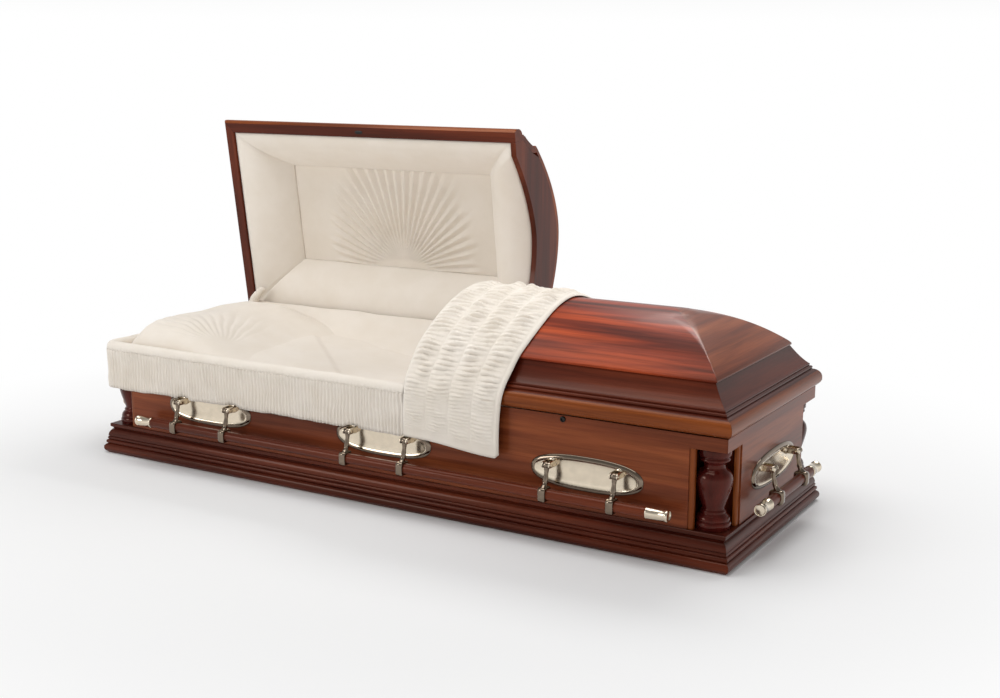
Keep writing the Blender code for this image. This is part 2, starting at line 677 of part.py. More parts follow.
def build_head_lid_lining(hinge):
    """Padded frame falling back to a flat panel inside the head lid."""
    left = -HALF_LENGTH + RIM_LAND + 2 * JOINT_GAP
    right = SPLIT_X - SPLIT_GAP / 2 - HEADER_THICKNESS - 2 * JOINT_GAP
    half = HALF_WIDTH - RIM_LAND - 2 * JOINT_GAP
    front_z = RIM_BOTTOM + LID_LINING_SET_BACK

    def ring(inset, z):
        return [(left + inset, -half + inset, z), (right - inset, -half + inset, z),
                (right - inset, half - inset, z), (left + inset, half - inset, z)]

    padding = [(0.00, 0.00), (0.10, 0.02), (0.35, 0.14), (0.65, 0.40), (0.88, 0.72), (1.00, 1.00)]
    faces = [(BOLSTER_WIDTH * inset, LID_PANEL_DEPTH * depth) for inset, depth in padding]
    seen = [ring(inset, front_z + depth) for inset, depth in faces]
    backs = [ring(inset + LID_LINING_THICKNESS * 0.5, front_z + depth + LID_LINING_THICKNESS) for inset, depth in faces]
    panel_rim = [ring(BOLSTER_WIDTH + 0.01, front_z + LID_PANEL_DEPTH),
                 ring(BOLSTER_WIDTH + 0.01, front_z + LID_PANEL_DEPTH + LID_LINING_THICKNESS)]
    outer = lofted("head_lid_lining", [panel_rim[0]] + list(reversed(seen)) + backs + [panel_rim[1]])
    lining = add_object("head_lid_lining", opened(outer), VELVET, smooth=True)
    hang_on(hinge, lining)


def build_overlay(hinge):
    """Padded throw over the cut end of the foot lid, hanging down the front and ending behind the ridge."""
    clear = OVERLAY_CLEARANCE
    front = -HALF_WIDTH
    lip = (-CROWN_HALF_WIDTH - clear, CROWN_BOTTOM + CROWN_LIP + clear)
    path = [(front - OVERLAY_STANDOFF, OVERLAY_BOTTOM), (front - OVERLAY_STANDOFF, RIM_BOTTOM - 0.030),
            (front - LID_SPREAD - clear, RIM_BOTTOM + 0.010), (front - LID_SPREAD - clear + 0.003, RIM_BOTTOM + 0.030),
            (front - 0.002, RIM_BOTTOM + 0.060), (lip[0] - 0.010, lip[1] - 0.012), lip]
    shares = [0.12, 0.26, 0.42, 0.6, 0.8, 1.0]
    path += [(-CROWN_HALF_WIDTH * (1 - s), crown_height(s) + clear) for s in shares]
    back_shares = [0.8, 0.6, 0.42, 1 - OVERLAY_BACK_Y / CROWN_HALF_WIDTH]
    path += [(CROWN_HALF_WIDTH * (1 - s), crown_height(s) + clear) for s in back_shares]
    outline = path + list(reversed(offset_path(path, OVERLAY_THICKNESS)))
    start = SPLIT_X + SPLIT_GAP / 2 + JOINT_GAP
    overlay = add_object("overlay", extruded("overlay", outline, start, start + OVERLAY_WIDTH), VELVET, smooth=True)
    hang_on(hinge, overlay)


def build_casket():
    build_base()
    build_panels()
    build_corner_posts()
    build_urns()
    head_hinge, foot_hinge = hinge_empty("head_lid_hinge"), hinge_empty("foot_lid_hinge")
    build_lid("head", head_hinge)
    build_lid("foot", foot_hinge)
    build_handles("front", SIDE_PLATE_XS, SIDE_BAR_REACH)
    build_handles("back", tuple(-x for x in reversed(SIDE_PLATE_XS)), SIDE_BAR_REACH)
    build_handles("foot", (0.0,), END_BAR_REACH)
    build_handles("head", (0.0,), END_BAR_REACH)
    build_body_lining()
    build_bed()
    build_pillow()
    build_head_lid_lining(head_hinge)
    build_overlay(foot_hinge)


build_casket()
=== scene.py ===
"""Looks of a half-couch wooden casket: lacquered mouldings, turned urns, swing handles and velvet interior.

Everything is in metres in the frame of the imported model: X along the length with the foot end at +X, the
front at -Y, +Z up. Moulding profiles are (outward, height) points, outward from the faces of the body.
"""

import random
from math import copysign, cos, pi, radians, sin

import bmesh
import bpy
import numpy as np
from mathutils import Matrix, Vector


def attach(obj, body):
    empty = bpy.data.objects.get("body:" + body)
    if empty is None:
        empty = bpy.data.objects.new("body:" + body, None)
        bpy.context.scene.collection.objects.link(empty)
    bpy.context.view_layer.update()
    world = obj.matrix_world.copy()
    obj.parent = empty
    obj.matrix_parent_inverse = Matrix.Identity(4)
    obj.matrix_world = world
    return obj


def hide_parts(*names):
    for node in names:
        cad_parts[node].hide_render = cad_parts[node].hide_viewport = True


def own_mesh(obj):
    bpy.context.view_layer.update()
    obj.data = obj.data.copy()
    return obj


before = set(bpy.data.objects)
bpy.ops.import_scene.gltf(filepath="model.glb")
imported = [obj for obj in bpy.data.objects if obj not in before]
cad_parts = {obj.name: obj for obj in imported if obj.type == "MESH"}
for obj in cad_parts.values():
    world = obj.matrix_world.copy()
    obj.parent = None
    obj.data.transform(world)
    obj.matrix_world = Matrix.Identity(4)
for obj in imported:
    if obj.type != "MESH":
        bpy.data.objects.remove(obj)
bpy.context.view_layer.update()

# Body
HALF_LENGTH = 1.046
HALF_WIDTH = 0.337
PANEL_THICKNESS = 0.019
GAP = 0.0003
BASE_HEIGHT = 0.095
BASE_SPREAD = 0.021
BASE_LEDGE = 0.004
NICHE_WIDTH = 0.100
NICHE_TOP = 0.3055
URN_INSET = 0.0525
URN_GAP = 0.001
URN_RADIUS = 0.0455

# Lids
SPLIT_X = 0.105
HALF_SPLIT = 0.003
RIM_BOTTOM = 0.346
LID_SPREAD = 0.0136
LID_FILLET = 0.011
QUARTER_ROUND = 0.027
BEAD = 0.0045
RIM_LAND = 0.026
RAIL_SHOULDER = 0.049
RAIL_NECK = 0.099
COVE_BOTTOM = 0.065
COVE_TOP = 0.117
COVE_HOLLOW = 0.003
CROWN_INSET = 0.057
CROWN_LIP = 0.007
CROWN_LAND = 0.0215
CROWN_SHELL = 0.014
CROWN_RISE = 0.117
CROWN_CURVE = 1.8
CROWN_STEPS = 40
CROWN_CORNER = 0.002
CROWN_CORNER_GROWTH = 0.16
LIP_EASE = 0.0015
END_SLOPE_RUN = 0.233
HEADER_THICKNESS = 0.018
HEADER_SHOULDER = 0.040
HEADER_ARCH_RISE = 0.094
HEADER_ARCH_CURVE = 1.7
HEADER_STEPS = 48
OPEN_ANGLE = 82.0
HINGE_Y = 0.347
HINGE_Z = 0.3435
CROWN_BOTTOM = RIM_BOTTOM + COVE_TOP + GAP
CROWN_HALF_WIDTH = HALF_WIDTH - CROWN_INSET
CROWN_END_X = HALF_LENGTH - CROWN_INSET

ARC_STEPS = 14
BEAD_STEPS = 8
MERGE_DISTANCE = 0.00001

TURNS = {"front": 0, "foot": 90, "back": 180, "head": 270}
CORNERS = {"front_foot": (1, -1), "back_foot": (1, 1), "back_head": (-1, 1), "front_head": (-1, -1)}


# Camera

CAMERA_ANGLES = (30.17, 11.72, 0.295)
CAMERA_AIM = (0.2381, 0.0, 0.4225)
CAMERA_DISTANCE = 3.98
CAMERA_LENS = 49.2
CAMERA_SENSOR = 36.0
CAMERA_SHIFT = (-0.0106, -0.0015)


def make_camera():
    azimuth, elevation, roll = (radians(a) for a in CAMERA_ANGLES)
    back = Vector((sin(azimuth) * cos(elevation), -cos(azimuth) * cos(elevation), sin(elevation)))
    right = Vector((cos(azimuth), sin(azimuth), 0))
    up = back.cross(right)
    right, up = cos(roll) * right + sin(roll) * up, -sin(roll) * right + cos(roll) * up
    camera = placed_object("camera", bpy.data.cameras.new("camera"))
    place = Matrix((right, up, back)).transposed().to_4x4()
    place.translation = Vector(CAMERA_AIM) + back * CAMERA_DISTANCE
    camera.matrix_world = place
    camera.data.lens = CAMERA_LENS
    camera.data.sensor_width = CAMERA_SENSOR
    camera.data.shift_x, camera.data.shift_y = CAMERA_SHIFT
    bpy.context.scene.camera = camera


def placed_object(name, data):
    made = bpy.data.objects.new(name, data)
    bpy.context.scene.collection.objects.link(made)
    return made


# Materials

def node(tree, kind, **values):
    """A node whose inputs are set to values or fed from sockets; other names are the node's settings."""
    made = tree.nodes.new("ShaderNode" + kind)
    for key, value in values.items():
        socket = key.replace("_", " ")
        if isinstance(value, bpy.types.NodeSocket):
            tree.links.new(value, made.inputs[socket])
        elif socket in made.inputs:
            made.inputs[socket].default_value = value
        else:
            setattr(made, key, value)
    return made


def blank_material(name, **constants):
    """A Principled material with its plain numbers set on the shader's own sockets."""
    material = bpy.data.materials.new(name)
    material.use_nodes = True
    shader = material.node_tree.nodes["Principled BSDF"]
    for key, value in constants.items():
        shader.inputs[key.replace("_", " ")].default_value = value
    return material, material.node_tree, shader


def ramp(tree, stops, source):
    """Colours over the range of a socket, from (place, colour) stops."""
    made = node(tree, "ValToRGB", Fac=source)
    while len(made.color_ramp.elements) < len(stops):
        made.color_ramp.elements.new(0.5)
    for element, (place, color) in zip(made.color_ramp.elements, stops):
        element.position = place
        element.color = (*color, 1)
    return made.outputs["Color"]


GRAIN_ORDER = {"x": (0, 1, 2), "y": (1, 0, 2), "z": (1, 2, 0)}
EVEN = (1, 1, 1)
WHITE = (1.0, 1.0, 1.0)
STREAK_TINT = (0.42, 0.34, 0.30)
FIBRE_TINT = (0.70, 0.62, 0.58)
FIBRE_WEIGHT = 0.7


def stretched_noise(tree, axis, scale, noise_scale, **values):
    """Noise drawn out along the grain; scale is given along it and twice across it."""
    coords = node(tree, "TexCoord").outputs["Object"]
    order = tuple(scale[i] for i in GRAIN_ORDER[axis])
    mapping = node(tree, "Mapping", Vector=coords, Scale=order).outputs["Vector"]
    return node(tree, "TexNoise", Vector=mapping, Scale=noise_scale, **values).outputs["Fac"]


def feed(tree, shader, colour, relief=None, **bump):
    """Feeds the shader's colour and, where there is a relief, its normal."""
    tree.links.new(colour, shader.inputs["Base Color"])
    if relief:
        made = node(tree, "Bump", Height=relief, **bump)
        tree.links.new(made.outputs["Normal"], shader.inputs["Normal"])


# Shades of the woods from dark to light, and their places in the figure
SHADE_PLACES = (0.30, 0.50, 0.70)
RED_PLACES = (0.34, 0.45, 0.54, 0.66)
RED = [(0.040, 0.008, 0.007), (0.125, 0.017, 0.009), (0.25, 0.033, 0.011), (0.47, 0.072, 0.018)]
TRIM = [(0.040, 0.005, 0.0025), (0.082, 0.0115, 0.0045), (0.14, 0.025, 0.008)]
BROWN = [(0.085, 0.017, 0.007), (0.19, 0.043, 0.015), (0.30, 0.080, 0.026)]
BAR = [(0.075, 0.012, 0.005), (0.13, 0.024, 0.009), (0.20, 0.042, 0.015)]
ORANGE = [(0.125, 0.026, 0.006), (0.21, 0.050, 0.010), (0.29, 0.078, 0.016)]
MAROON = [(0.020, 0.002, 0.002), (0.055, 0.006, 0.005), (0.105, 0.013, 0.009)]
PLAIN = [(0.34, 0.20, 0.11), (0.45, 0.29, 0.17), (0.55, 0.37, 0.22)]


def wood(name, axis, shades, places=SHADE_PLACES, gloss=0.32, coat=0.12, streak=0.55):
    """Stained wood under lacquer: ribbon figure, dark streaks, fibres and open pores along one axis."""
    material, tree, shader = blank_material(name, Roughness=gloss, Coat_Weight=coat, Coat_Roughness=0.08,
                                            Specular_IOR_Level=0.25, Specular_Tint=(1.0, 0.52, 0.34, 1))
    ribbon = stretched_noise(tree, axis, (0.55, 7, 7), 2.0, Detail=4.0, Roughness=0.5, Distortion=0.25)
    streaks = stretched_noise(tree, axis, (1.3, 42, 42), 1.6, Detail=4.0, Roughness=0.6, Distortion=0.15)
    fibres = stretched_noise(tree, axis, (5, 260, 260), 1.5, Detail=2.0, Roughness=0.6)
    pores = stretched_noise(tree, axis, (30, 800, 800), 1.0, Detail=1.0)
    colour = ramp(tree, list(zip(places, shades)), ribbon)
    layers = [(streaks, [(0.34, STREAK_TINT), (0.56, WHITE)], streak),
              (fibres, [(0.30, FIBRE_TINT), (0.58, WHITE)], FIBRE_WEIGHT)]
    for noise, stops, weight in layers:
        mix = node(tree, "Mix", data_type="RGBA", blend_type="MULTIPLY", Factor=weight)
        tree.links.new(colour, mix.inputs[6])
        tree.links.new(ramp(tree, stops, noise), mix.inputs[7])
        colour = mix.outputs[2]
    feed(tree, shader, colour, pores, Strength=0.10, Distance=0.0003)
    return material


def velvet(name, colour, pile=0.5):
    """Matt ivory velvet: a soft sheen, and a pile that lies a little differently from place to place."""
    material, tree, shader = blank_material(name, Roughness=0.92, Sheen_Weight=0.35, Sheen_Roughness=0.45,
                                            Specular_IOR_Level=0.2)
    lay = stretched_noise(tree, "x", EVEN, 9.0, Detail=4.0, Roughness=0.6)
    darker = tuple(c * k for c, k in zip(colour, (0.96, 0.95, 0.93)))
    weave = stretched_noise(tree, "x", EVEN, 900.0, Detail=2.0)
    tint = ramp(tree, [(0.35, darker), (0.65, colour)], lay)
    feed(tree, shader, tint, weave, Strength=pile, Distance=0.0004)
    return material


def plated(name, colour, roughness):
    """Polished plating with the faint cloudiness that buffing leaves."""
    material, tree, shader = blank_material(name, Metallic=1.0)
    cloud = stretched_noise(tree, "x", EVEN, 60.0, Detail=3.0)
    feed(tree, shader, ramp(tree, [(0.3, tuple(c * 0.88 for c in colour)), (0.7, colour)], cloud))
    spread = node(tree, "MapRange", Value=cloud, To_Min=roughness * 0.8, To_Max=roughness * 1.3)
    tree.links.new(spread.outputs["Result"], shader.inputs["Roughness"])
    return material


WOOD = {axis: wood("lacquered_wood_" + axis, axis, BROWN) for axis in "xyz"}
TRIM_WOOD = {axis: wood("trim_wood_" + axis, axis, TRIM) for axis in "xyz"}
ORANGE_WOOD = {axis: wood("orange_wood_" + axis, axis, ORANGE) for axis in "xyz"}
BAR_WOOD = {axis: wood("bar_wood_" + axis, axis, BAR) for axis in "xy"}
CROWN_WOOD = wood("crown_wood", "x", RED, RED_PLACES, gloss=0.36, coat=0.05, streak=0.85)
MAROON_WOOD = wood("maroon_wood", "z", MAROON, gloss=0.16, coat=0.16, streak=0.3)
PLAIN_WOOD = wood("plain_wood", "x", PLAIN, gloss=0.6, coat=0.0)
VELVET = velvet("ivory_velvet", (0.80, 0.735, 0.655))
# The lid panels' velvet is a darker copy of the ivory: partly the pile's own tone, partly painted shade of
# the recess the panels sit in.
SHADED_PANEL_VELVET = velvet("panel_velvet_painted_shade", (0.755, 0.685, 0.600))
NICKEL = plated("champagne_nickel", (0.76, 0.66, 0.52), 0.17)
# Darker copy of the plating for the swing arms and plate rims: its dark tone is painted reflection of the
# dark surroundings the polished metal mirrors.
DARK_REFLECTION_NICKEL = plated("nickel_painted_dark_reflection", (0.235, 0.185, 0.14), 0.07)
DARK_METAL = plated("dark_metal", (0.035, 0.033, 0.032), 0.35)


# Building pieces

SMOOTH = 180
ORIGIN = (0, 0, 0)


def piece_from(name, mesh, material, body, stands_for=(), sharp=35):
    """A finished piece: smooth where the faces turn less than sharp degrees, riding on its body."""
    piece = placed_object(name, mesh)
    if mesh.materials:
        mesh.materials.clear()
    mesh.materials.append(material)
    mesh.shade_smooth()
    if sharp < SMOOTH:
        mesh.set_sharp_from_angle(angle=radians(sharp))
    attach(piece, body)
    if stands_for:
        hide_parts(*stands_for)
    return piece


def metal_piece(name, mesh, material, body, stands_for=()):
    return piece_from(name, mesh, material, body, stands_for, sharp=50)


def mesh_from(name, bm):
    bmesh.ops.recalc_face_normals(bm, faces=bm.faces)
    mesh = bpy.data.meshes.new(name)
    bm.to_mesh(mesh)
    bm.free()
    return mesh


def lofted(name, rings, cyclic=True, capped=True):
    """Skin a stack of equal rings, with a face across each end, or along each end of open rings."""
    bm = bmesh.new()
    rows = [[bm.verts.new(point) for point in ring] for ring in rings]
    count = len(rows[0])
    spans = range(count) if cyclic else range(count - 1)
    for low, high in zip(rows, rows[1:]):
        for i in spans:
            bm.faces.new((low[i], low[(i + 1) % count], high[(i + 1) % count], high[i]))
    if not cyclic:
        bm.faces.new([row[0] for row in rows])
        bm.faces.new([row[-1] for row in reversed(rows)])
    elif capped:
        bm.faces.new(reversed(rows[0]))
        bm.faces.new(rows[-1])
    bmesh.ops.remove_doubles(bm, verts=bm.verts, dist=MERGE_DISTANCE)
    return mesh_from(name, bm)


def extruded(name, outline, start, end):
    """A flat outline of (y, z) points carried along X from start to end."""
    return lofted(name, [[(start, y, z) for y, z in outline], [(end, y, z) for y, z in outline]])


def half_run(side):
    """Half the length of a side, and how far its face stands from the centre."""
    if side in ("front", "back"):
        return HALF_LENGTH, HALF_WIDTH
    return HALF_WIDTH, HALF_LENGTH


def placed(mesh, place, degrees=0, axis="X"):
    """Turns a mesh about an axis through the origin and then carries it to its place."""
    mesh.transform(Matrix.Translation(place) @ Matrix.Rotation(radians(degrees), 4, axis))
    return mesh


def turned_about(side):
    return Matrix.Rotation(radians(TURNS[side]), 4, "Z")


def grain_of(side):
    return "x" if side in ("front", "back") else "y"


def arc(centre, radius, start, end, steps):
    """Points on an arc, angles in degrees."""
    angles = [radians(start + (end - start) * i / steps) for i in range(steps + 1)]
    return [(centre[0] + radius * cos(a), centre[1] + radius * sin(a)) for a in angles]


def rail_mesh(name, profile, side, start, end, mitre_start, mitre_end):
    """A moulding along one side; a mitred end leans with the profile, a square end is cut across."""
    plane = half_run(side)[1]

    def ring(at, mitred, outward):
        lean = outward if mitred else 0.0
        return [(at + (d - GAP) * lean, -(plane + d), z) for d, z in profile]

    mesh = lofted(name, [ring(start, mitre_start, -1.0), ring(end, mitre_end, 1.0)])
    mesh.transform(turned_about(side))
    return mesh


def opened(mesh):
    """Swings a piece of the head lid back from closed to open."""
    pivot = Matrix.Translation((0, HINGE_Y, HINGE_Z))
    swing = Matrix.Rotation(radians(-OPEN_ANGLE), 4, "X")
    mesh.transform(pivot @ swing @ pivot.inverted())
    return mesh


# Shell

def base_profile():
    """Bead, two reeds, an ovolo and a ledge, in nineteenths of the base's height."""
    unit = BASE_HEIGHT / 19
    bead_radius = 2.9 * unit
    bead = arc((BASE_SPREAD - bead_radius, 3.2 * unit), bead_radius, -75, 75, ARC_STEPS)
    reed = arc((BASE_SPREAD - 2.5 * unit, 7.3 * unit), 1.3 * unit, -70, 70, BEAD_STEPS)
    upper_reed = arc((BASE_SPREAD - 3.1 * unit, 9.6 * unit), 1.1 * unit, -70, 70, BEAD_STEPS)
    ovolo = arc((BASE_SPREAD - 7.8 * unit, 10.9 * unit), 5.5 * unit, 0, 58, ARC_STEPS)
    ledge = [(BASE_LEDGE - 0.8 * unit, 16.6 * unit), (BASE_LEDGE, 17 * unit),
             (BASE_LEDGE, BASE_HEIGHT - 0.001), (BASE_LEDGE - 0.001, BASE_HEIGHT)]
    inner = [(-PANEL_THICKNESS, BASE_HEIGHT), (-PANEL_THICKNESS, 0.0), (BASE_SPREAD - 2 * unit, 0.0)]
    return bead + reed + upper_reed + ovolo + ledge + inner


def build_base():
    profile = base_profile()
    for side in TURNS:
        run = half_run(side)[0]
        name = f"base_moulding_{side}"
        mesh = rail_mesh(name, profile, side, -run, run, True, True)
        piece_from(name, mesh, TRIM_WOOD[grain_of(side)], "shell", [f"base_rail_{side}"])


def finish_node(name, material, bevel=0.0):
    """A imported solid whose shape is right: its material, and its edges eased."""
    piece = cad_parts[name]
    piece.data.materials.clear()
    piece.data.materials.append(material)
    if bevel:
        bevelled(piece, bevel, 2)


def bevelled(piece, width, segments, least_angle=40):
    """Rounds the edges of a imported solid."""
    weld = piece.modifiers.new("weld", "WELD")
    weld.merge_threshold = 0.0001
    edges = piece.modifiers.new("edges", "BEVEL")
    edges.width = width
    edges.segments = segments
    edges.limit_method = "ANGLE"
    edges.angle_limit = radians(least_angle)
    edges.harden_normals = False


# Cap with a bead, neck, round shoulder, waist and ringed bell foot, as shares of radius and height
URN_SHARES = [(0.88, 1.000), (0.92, 0.985), (0.925, 0.94), (0.92, 0.905), (0.87, 0.895), (0.80, 0.890),
              (0.80, 0.880), (0.85, 0.872), (0.87, 0.856), (0.84, 0.840), (0.75, 0.828), (0.67, 0.812),
              (0.63, 0.790), (0.62, 0.765), (0.65, 0.745), (0.77, 0.722), (0.90, 0.695), (0.99, 0.662),
              (1.035, 0.625), (1.04, 0.588), (1.015, 0.540), (0.96, 0.485), (0.885, 0.425), (0.80, 0.365),
              (0.72, 0.310), (0.665, 0.272), (0.64, 0.250), (0.65, 0.235), (0.71, 0.225), (0.735, 0.212),
              (0.71, 0.200), (0.73, 0.190), (0.82, 0.172), (0.90, 0.148), (0.94, 0.122), (0.95, 0.106),
              (0.91, 0.097), (0.95, 0.088), (1.00, 0.070), (1.005, 0.045), (0.97, 0.028), (0.96, 0.000)]


def turned_mesh(name, profile, steps):
    angles = np.linspace(0, 2 * pi, steps, endpoint=False)
    rings = [[(r * cos(a), r * sin(a), z) for a in angles] for r, z in profile]
    return lofted(name, rings)


def build_urns():
    height = NICHE_TOP - BASE_HEIGHT - 2 * URN_GAP
    profile = [(URN_RADIUS * r, height * h) for r, h in URN_SHARES]
    for corner, (sx, sy) in CORNERS.items():
        place = (sx * (HALF_LENGTH - URN_INSET), sy * (HALF_WIDTH - URN_INSET), BASE_HEIGHT + URN_GAP)
        mesh = placed(turned_mesh("urn", profile, 64), place)
        piece_from(f"turned_urn_{corner}", mesh, MAROON_WOOD, "shell", [f"urn_{corner}"],
                   sharp=55)


STRIP_WIDTH = 0.014
STRIP_DEPTH = 0.011
STRIP_SET_BACK = 0.0035


def build_niche_strips():
    """Rounded upright strips that frame each corner niche on its two open sides."""
    top, bottom = NICHE_TOP - GAP, BASE_HEIGHT + GAP
    near = STRIP_WIDTH * 0.45
    front = arc((STRIP_WIDTH - near, near), near, -90, 0, 6)
    section = [(0.0, 0.0)] + front + [(STRIP_WIDTH, STRIP_DEPTH), (0.0, STRIP_DEPTH)]
    places = [(NICHE_WIDTH - GAP - run, STRIP_SET_BACK + depth) for run, depth in section]
    for corner, (sx, sy) in CORNERS.items():

        def strip(points):
            return lofted("strip", [[(sx * (HALF_LENGTH - u), sy * (HALF_WIDTH - v), z) for u, v in points]
                                    for z in (bottom, top)])

        strips = [strip(places), strip([(outer, inner) for inner, outer in places])]
        piece_from(f"niche_strips_{corner}", joined(strips), ORANGE_WOOD["z"], "shell")


def build_shell():
    build_base()
    build_niche_strips()
    for side in TURNS:
        finish_node(f"panel_{side}", WOOD[grain_of(side)], 0.0012)
    for corner in CORNERS:
        finish_node(f"corner_post_{corner}", TRIM_WOOD["z"])
    finish_node("bottom_board", PLAIN_WOOD, 0.001)
    finish_node("bed_board", PLAIN_WOOD, 0.001)
    build_urns()


# Lids

def lid_profile():
    """Small fillet, quarter-round, two beads and a deep cove under the crown."""
    bottom = RIM_BOTTOM
    fillet = [(LID_SPREAD - 0.7 * LID_FILLET, bottom),
              (LID_SPREAD - 0.25 * LID_FILLET, bottom + 0.5 * LID_FILLET),
              (LID_SPREAD, bottom + LID_FILLET)]
    middle = bottom + LID_FILLET + 1.6 * BEAD
    quarter = arc((LID_SPREAD - QUARTER_ROUND, middle), QUARTER_ROUND, 0, 75, ARC_STEPS)
    low = (LID_SPREAD - QUARTER_ROUND, middle + QUARTER_ROUND + BEAD)
    upper = (low[0] - 1.2 * BEAD, low[1] + 2 * BEAD)
    beads = arc(low, BEAD, -60, 70, BEAD_STEPS) + arc(upper, 0.8 * BEAD, -60, 80, BEAD_STEPS)
    cove_start = low[0] - 1.8 * BEAD
    cove_end = -CROWN_INSET - BEAD
    cove = []
    for i in range(1, ARC_STEPS + 1):
        share = i / ARC_STEPS
        hollow = COVE_HOLLOW * sin(pi * share)
        outward = cove_start + (cove_end - cove_start) * share
        cove.append((outward, bottom + COVE_BOTTOM + (COVE_TOP - COVE_BOTTOM) * share - hollow))
    inner = [(-CROWN_INSET - CROWN_LAND, bottom + COVE_TOP),
             (-CROWN_INSET - 0.8 * CROWN_LAND, bottom + RAIL_NECK), (-RIM_LAND, bottom + RAIL_SHOULDER),
             (-RIM_LAND, bottom)]
    return fillet + quarter + beads + cove + inner


def crown_height(share):
    """Height of the crown over a share of the way in from its edge to the ridge."""
    return CROWN_BOTTOM + CROWN_LIP + CROWN_RISE * (1 - (1 - share) ** CROWN_CURVE)


def crown_ring(share, z, cut_x, inset=0.0, corner=0.0, steps=6):
    """A U round the open-ended dome at one share of the slope, its corners rounded by a radius."""
    y = (CROWN_HALF_WIDTH - inset) * (1 - share)
    x = CROWN_END_X - inset - END_SLOPE_RUN * share
    radius = min(corner, 0.9 * y)
    turn = [(x - radius + radius * cos(a), -y + radius - radius * sin(a))
            for a in (pi / 2 * (1 - i / steps) for i in range(steps + 1))]
    half = [(cut_x, -y)] + turn
    return [(px, py, z) for px, py in half] + [(px, -py, z) for px, py in reversed(half)]


def crown_mesh(name, cut_x):
    """Lip, land and domed skin of one lid, with the skin's true thickness."""
    shares = [i / CROWN_STEPS for i in range(CROWN_STEPS + 1)]

    def ring(share, z, inset=0.0):
        return crown_ring(share, z, cut_x, inset, CROWN_CORNER + CROWN_CORNER_GROWTH * share ** 3)

    first = next(s for s in shares if crown_height(s) - CROWN_SHELL > CROWN_BOTTOM + CROWN_LIP / 2)
    inner = [ring(s, crown_height(s) - CROWN_SHELL) for s in reversed(shares) if s >= first]
    edge = [ring(0.0, CROWN_BOTTOM, CROWN_LAND), ring(0.0, CROWN_BOTTOM, LIP_EASE),
            ring(0.0, CROWN_BOTTOM + LIP_EASE), ring(0.0, CROWN_BOTTOM + CROWN_LIP - 0.002)]
    outer = [ring(0.0, crown_height(0.0), LIP_EASE)] + [ring(s, crown_height(s)) for s in shares[1:]]
    return lofted(name, inner + edge + outer, cyclic=False)


def header_outline():
    """The cross board at the cut end: an arched lower edge, its top under the crown's skin."""
    bottom = RIM_BOTTOM
    side = HALF_WIDTH - RIM_LAND - GAP
    arch_half = side - HEADER_SHOULDER
    lower = []
    for i in range(HEADER_STEPS + 1):
        y = -arch_half + 2 * arch_half * i / HEADER_STEPS
        lower.append((y, bottom + HEADER_ARCH_RISE * (1 - (abs(y) / arch_half) ** HEADER_ARCH_CURVE)))
    neck = CROWN_HALF_WIDTH - 0.8 * CROWN_LAND - 2 * GAP
    flank = [(side, bottom), (side, bottom + RAIL_SHOULDER - GAP), (neck, bottom + RAIL_NECK - GAP)]
    top = []
    for i in range(17):
        share = 0.14 + 0.86 * i / 16
        top.append((CROWN_HALF_WIDTH * (1 - share), crown_height(share) - CROWN_SHELL - GAP))
    mirrored_top = [(-y, z) for y, z in reversed(top[:-1])]
    mirrored_flank = [(-y, z) for y, z in reversed(flank)]
    return lower + flank + top + mirrored_top + mirrored_flank


def is_rim_face(face, side):
    """Whether a face of a lid moulding belongs to the quarter-round and its fillet."""
    outward = turned_about(side).to_3x3() @ Vector((0, -1, 0))
    return face.center.z < RIM_BOTTOM + 1.45 * QUARTER_ROUND and face.normal.dot(outward) > 0.2


def build_lid(which):
    """Three moulded rails, the crown and its header board on one side of the split."""
    profile = lid_profile()
    foot = which == "foot"
    cut = SPLIT_X + HALF_SPLIT if foot else SPLIT_X - HALF_SPLIT
    spans = {"front": (cut, HALF_LENGTH) if foot else (-HALF_LENGTH, cut),
             "back": (-HALF_LENGTH, -cut) if foot else (-cut, HALF_LENGTH),
             "end": (-HALF_WIDTH, HALF_WIDTH)}
    mitres = {"front": (not foot, foot), "back": (foot, not foot), "end": (True, True)}
    body = which + "_lid"
    cross = "y" if foot else "z"

    def add(name, mesh, material, stands_for=()):
        if not foot:
            opened(mesh)
        return piece_from(name, mesh, material, body, stands_for)

    def recoloured(piece, material, faces):
        piece.data.materials.append(material)
        for index in faces:
            piece.data.polygons[index].material_index = 1

    for part, (start, end) in spans.items():
        side = which if part == "end" else part
        mesh = rail_mesh(part, profile, side, start, end, *mitres[part])
        low_faces = [face.index for face in mesh.polygons if is_rim_face(face, side)]
        grain = cross if part == "end" else "x"
        rail = add(f"{which}_lid_moulding_{part}", mesh, TRIM_WOOD[grain], [f"{which}_lid_rail_{part}"])
        recoloured(rail, ORANGE_WOOD[grain], low_faces)
    reach = cut if foot else -cut
    crown = crown_mesh("crown", reach)
    header = extruded("header", header_outline(), reach, reach + HEADER_THICKNESS)
    if not foot:
        for mesh in (crown, header):
            placed(mesh, ORIGIN, 180, "Z")
    ends = [face.index for face in crown.polygons
            if abs(face.normal.x) > abs(face.normal.y) and face.area > 0]
    dome = add(f"{which}_lid_dome", crown, CROWN_WOOD, [f"{which}_lid_crown"])
    recoloured(dome, WOOD[cross], ends)
    add(f"{which}_lid_header", header, TRIM_WOOD[cross])


# Handles

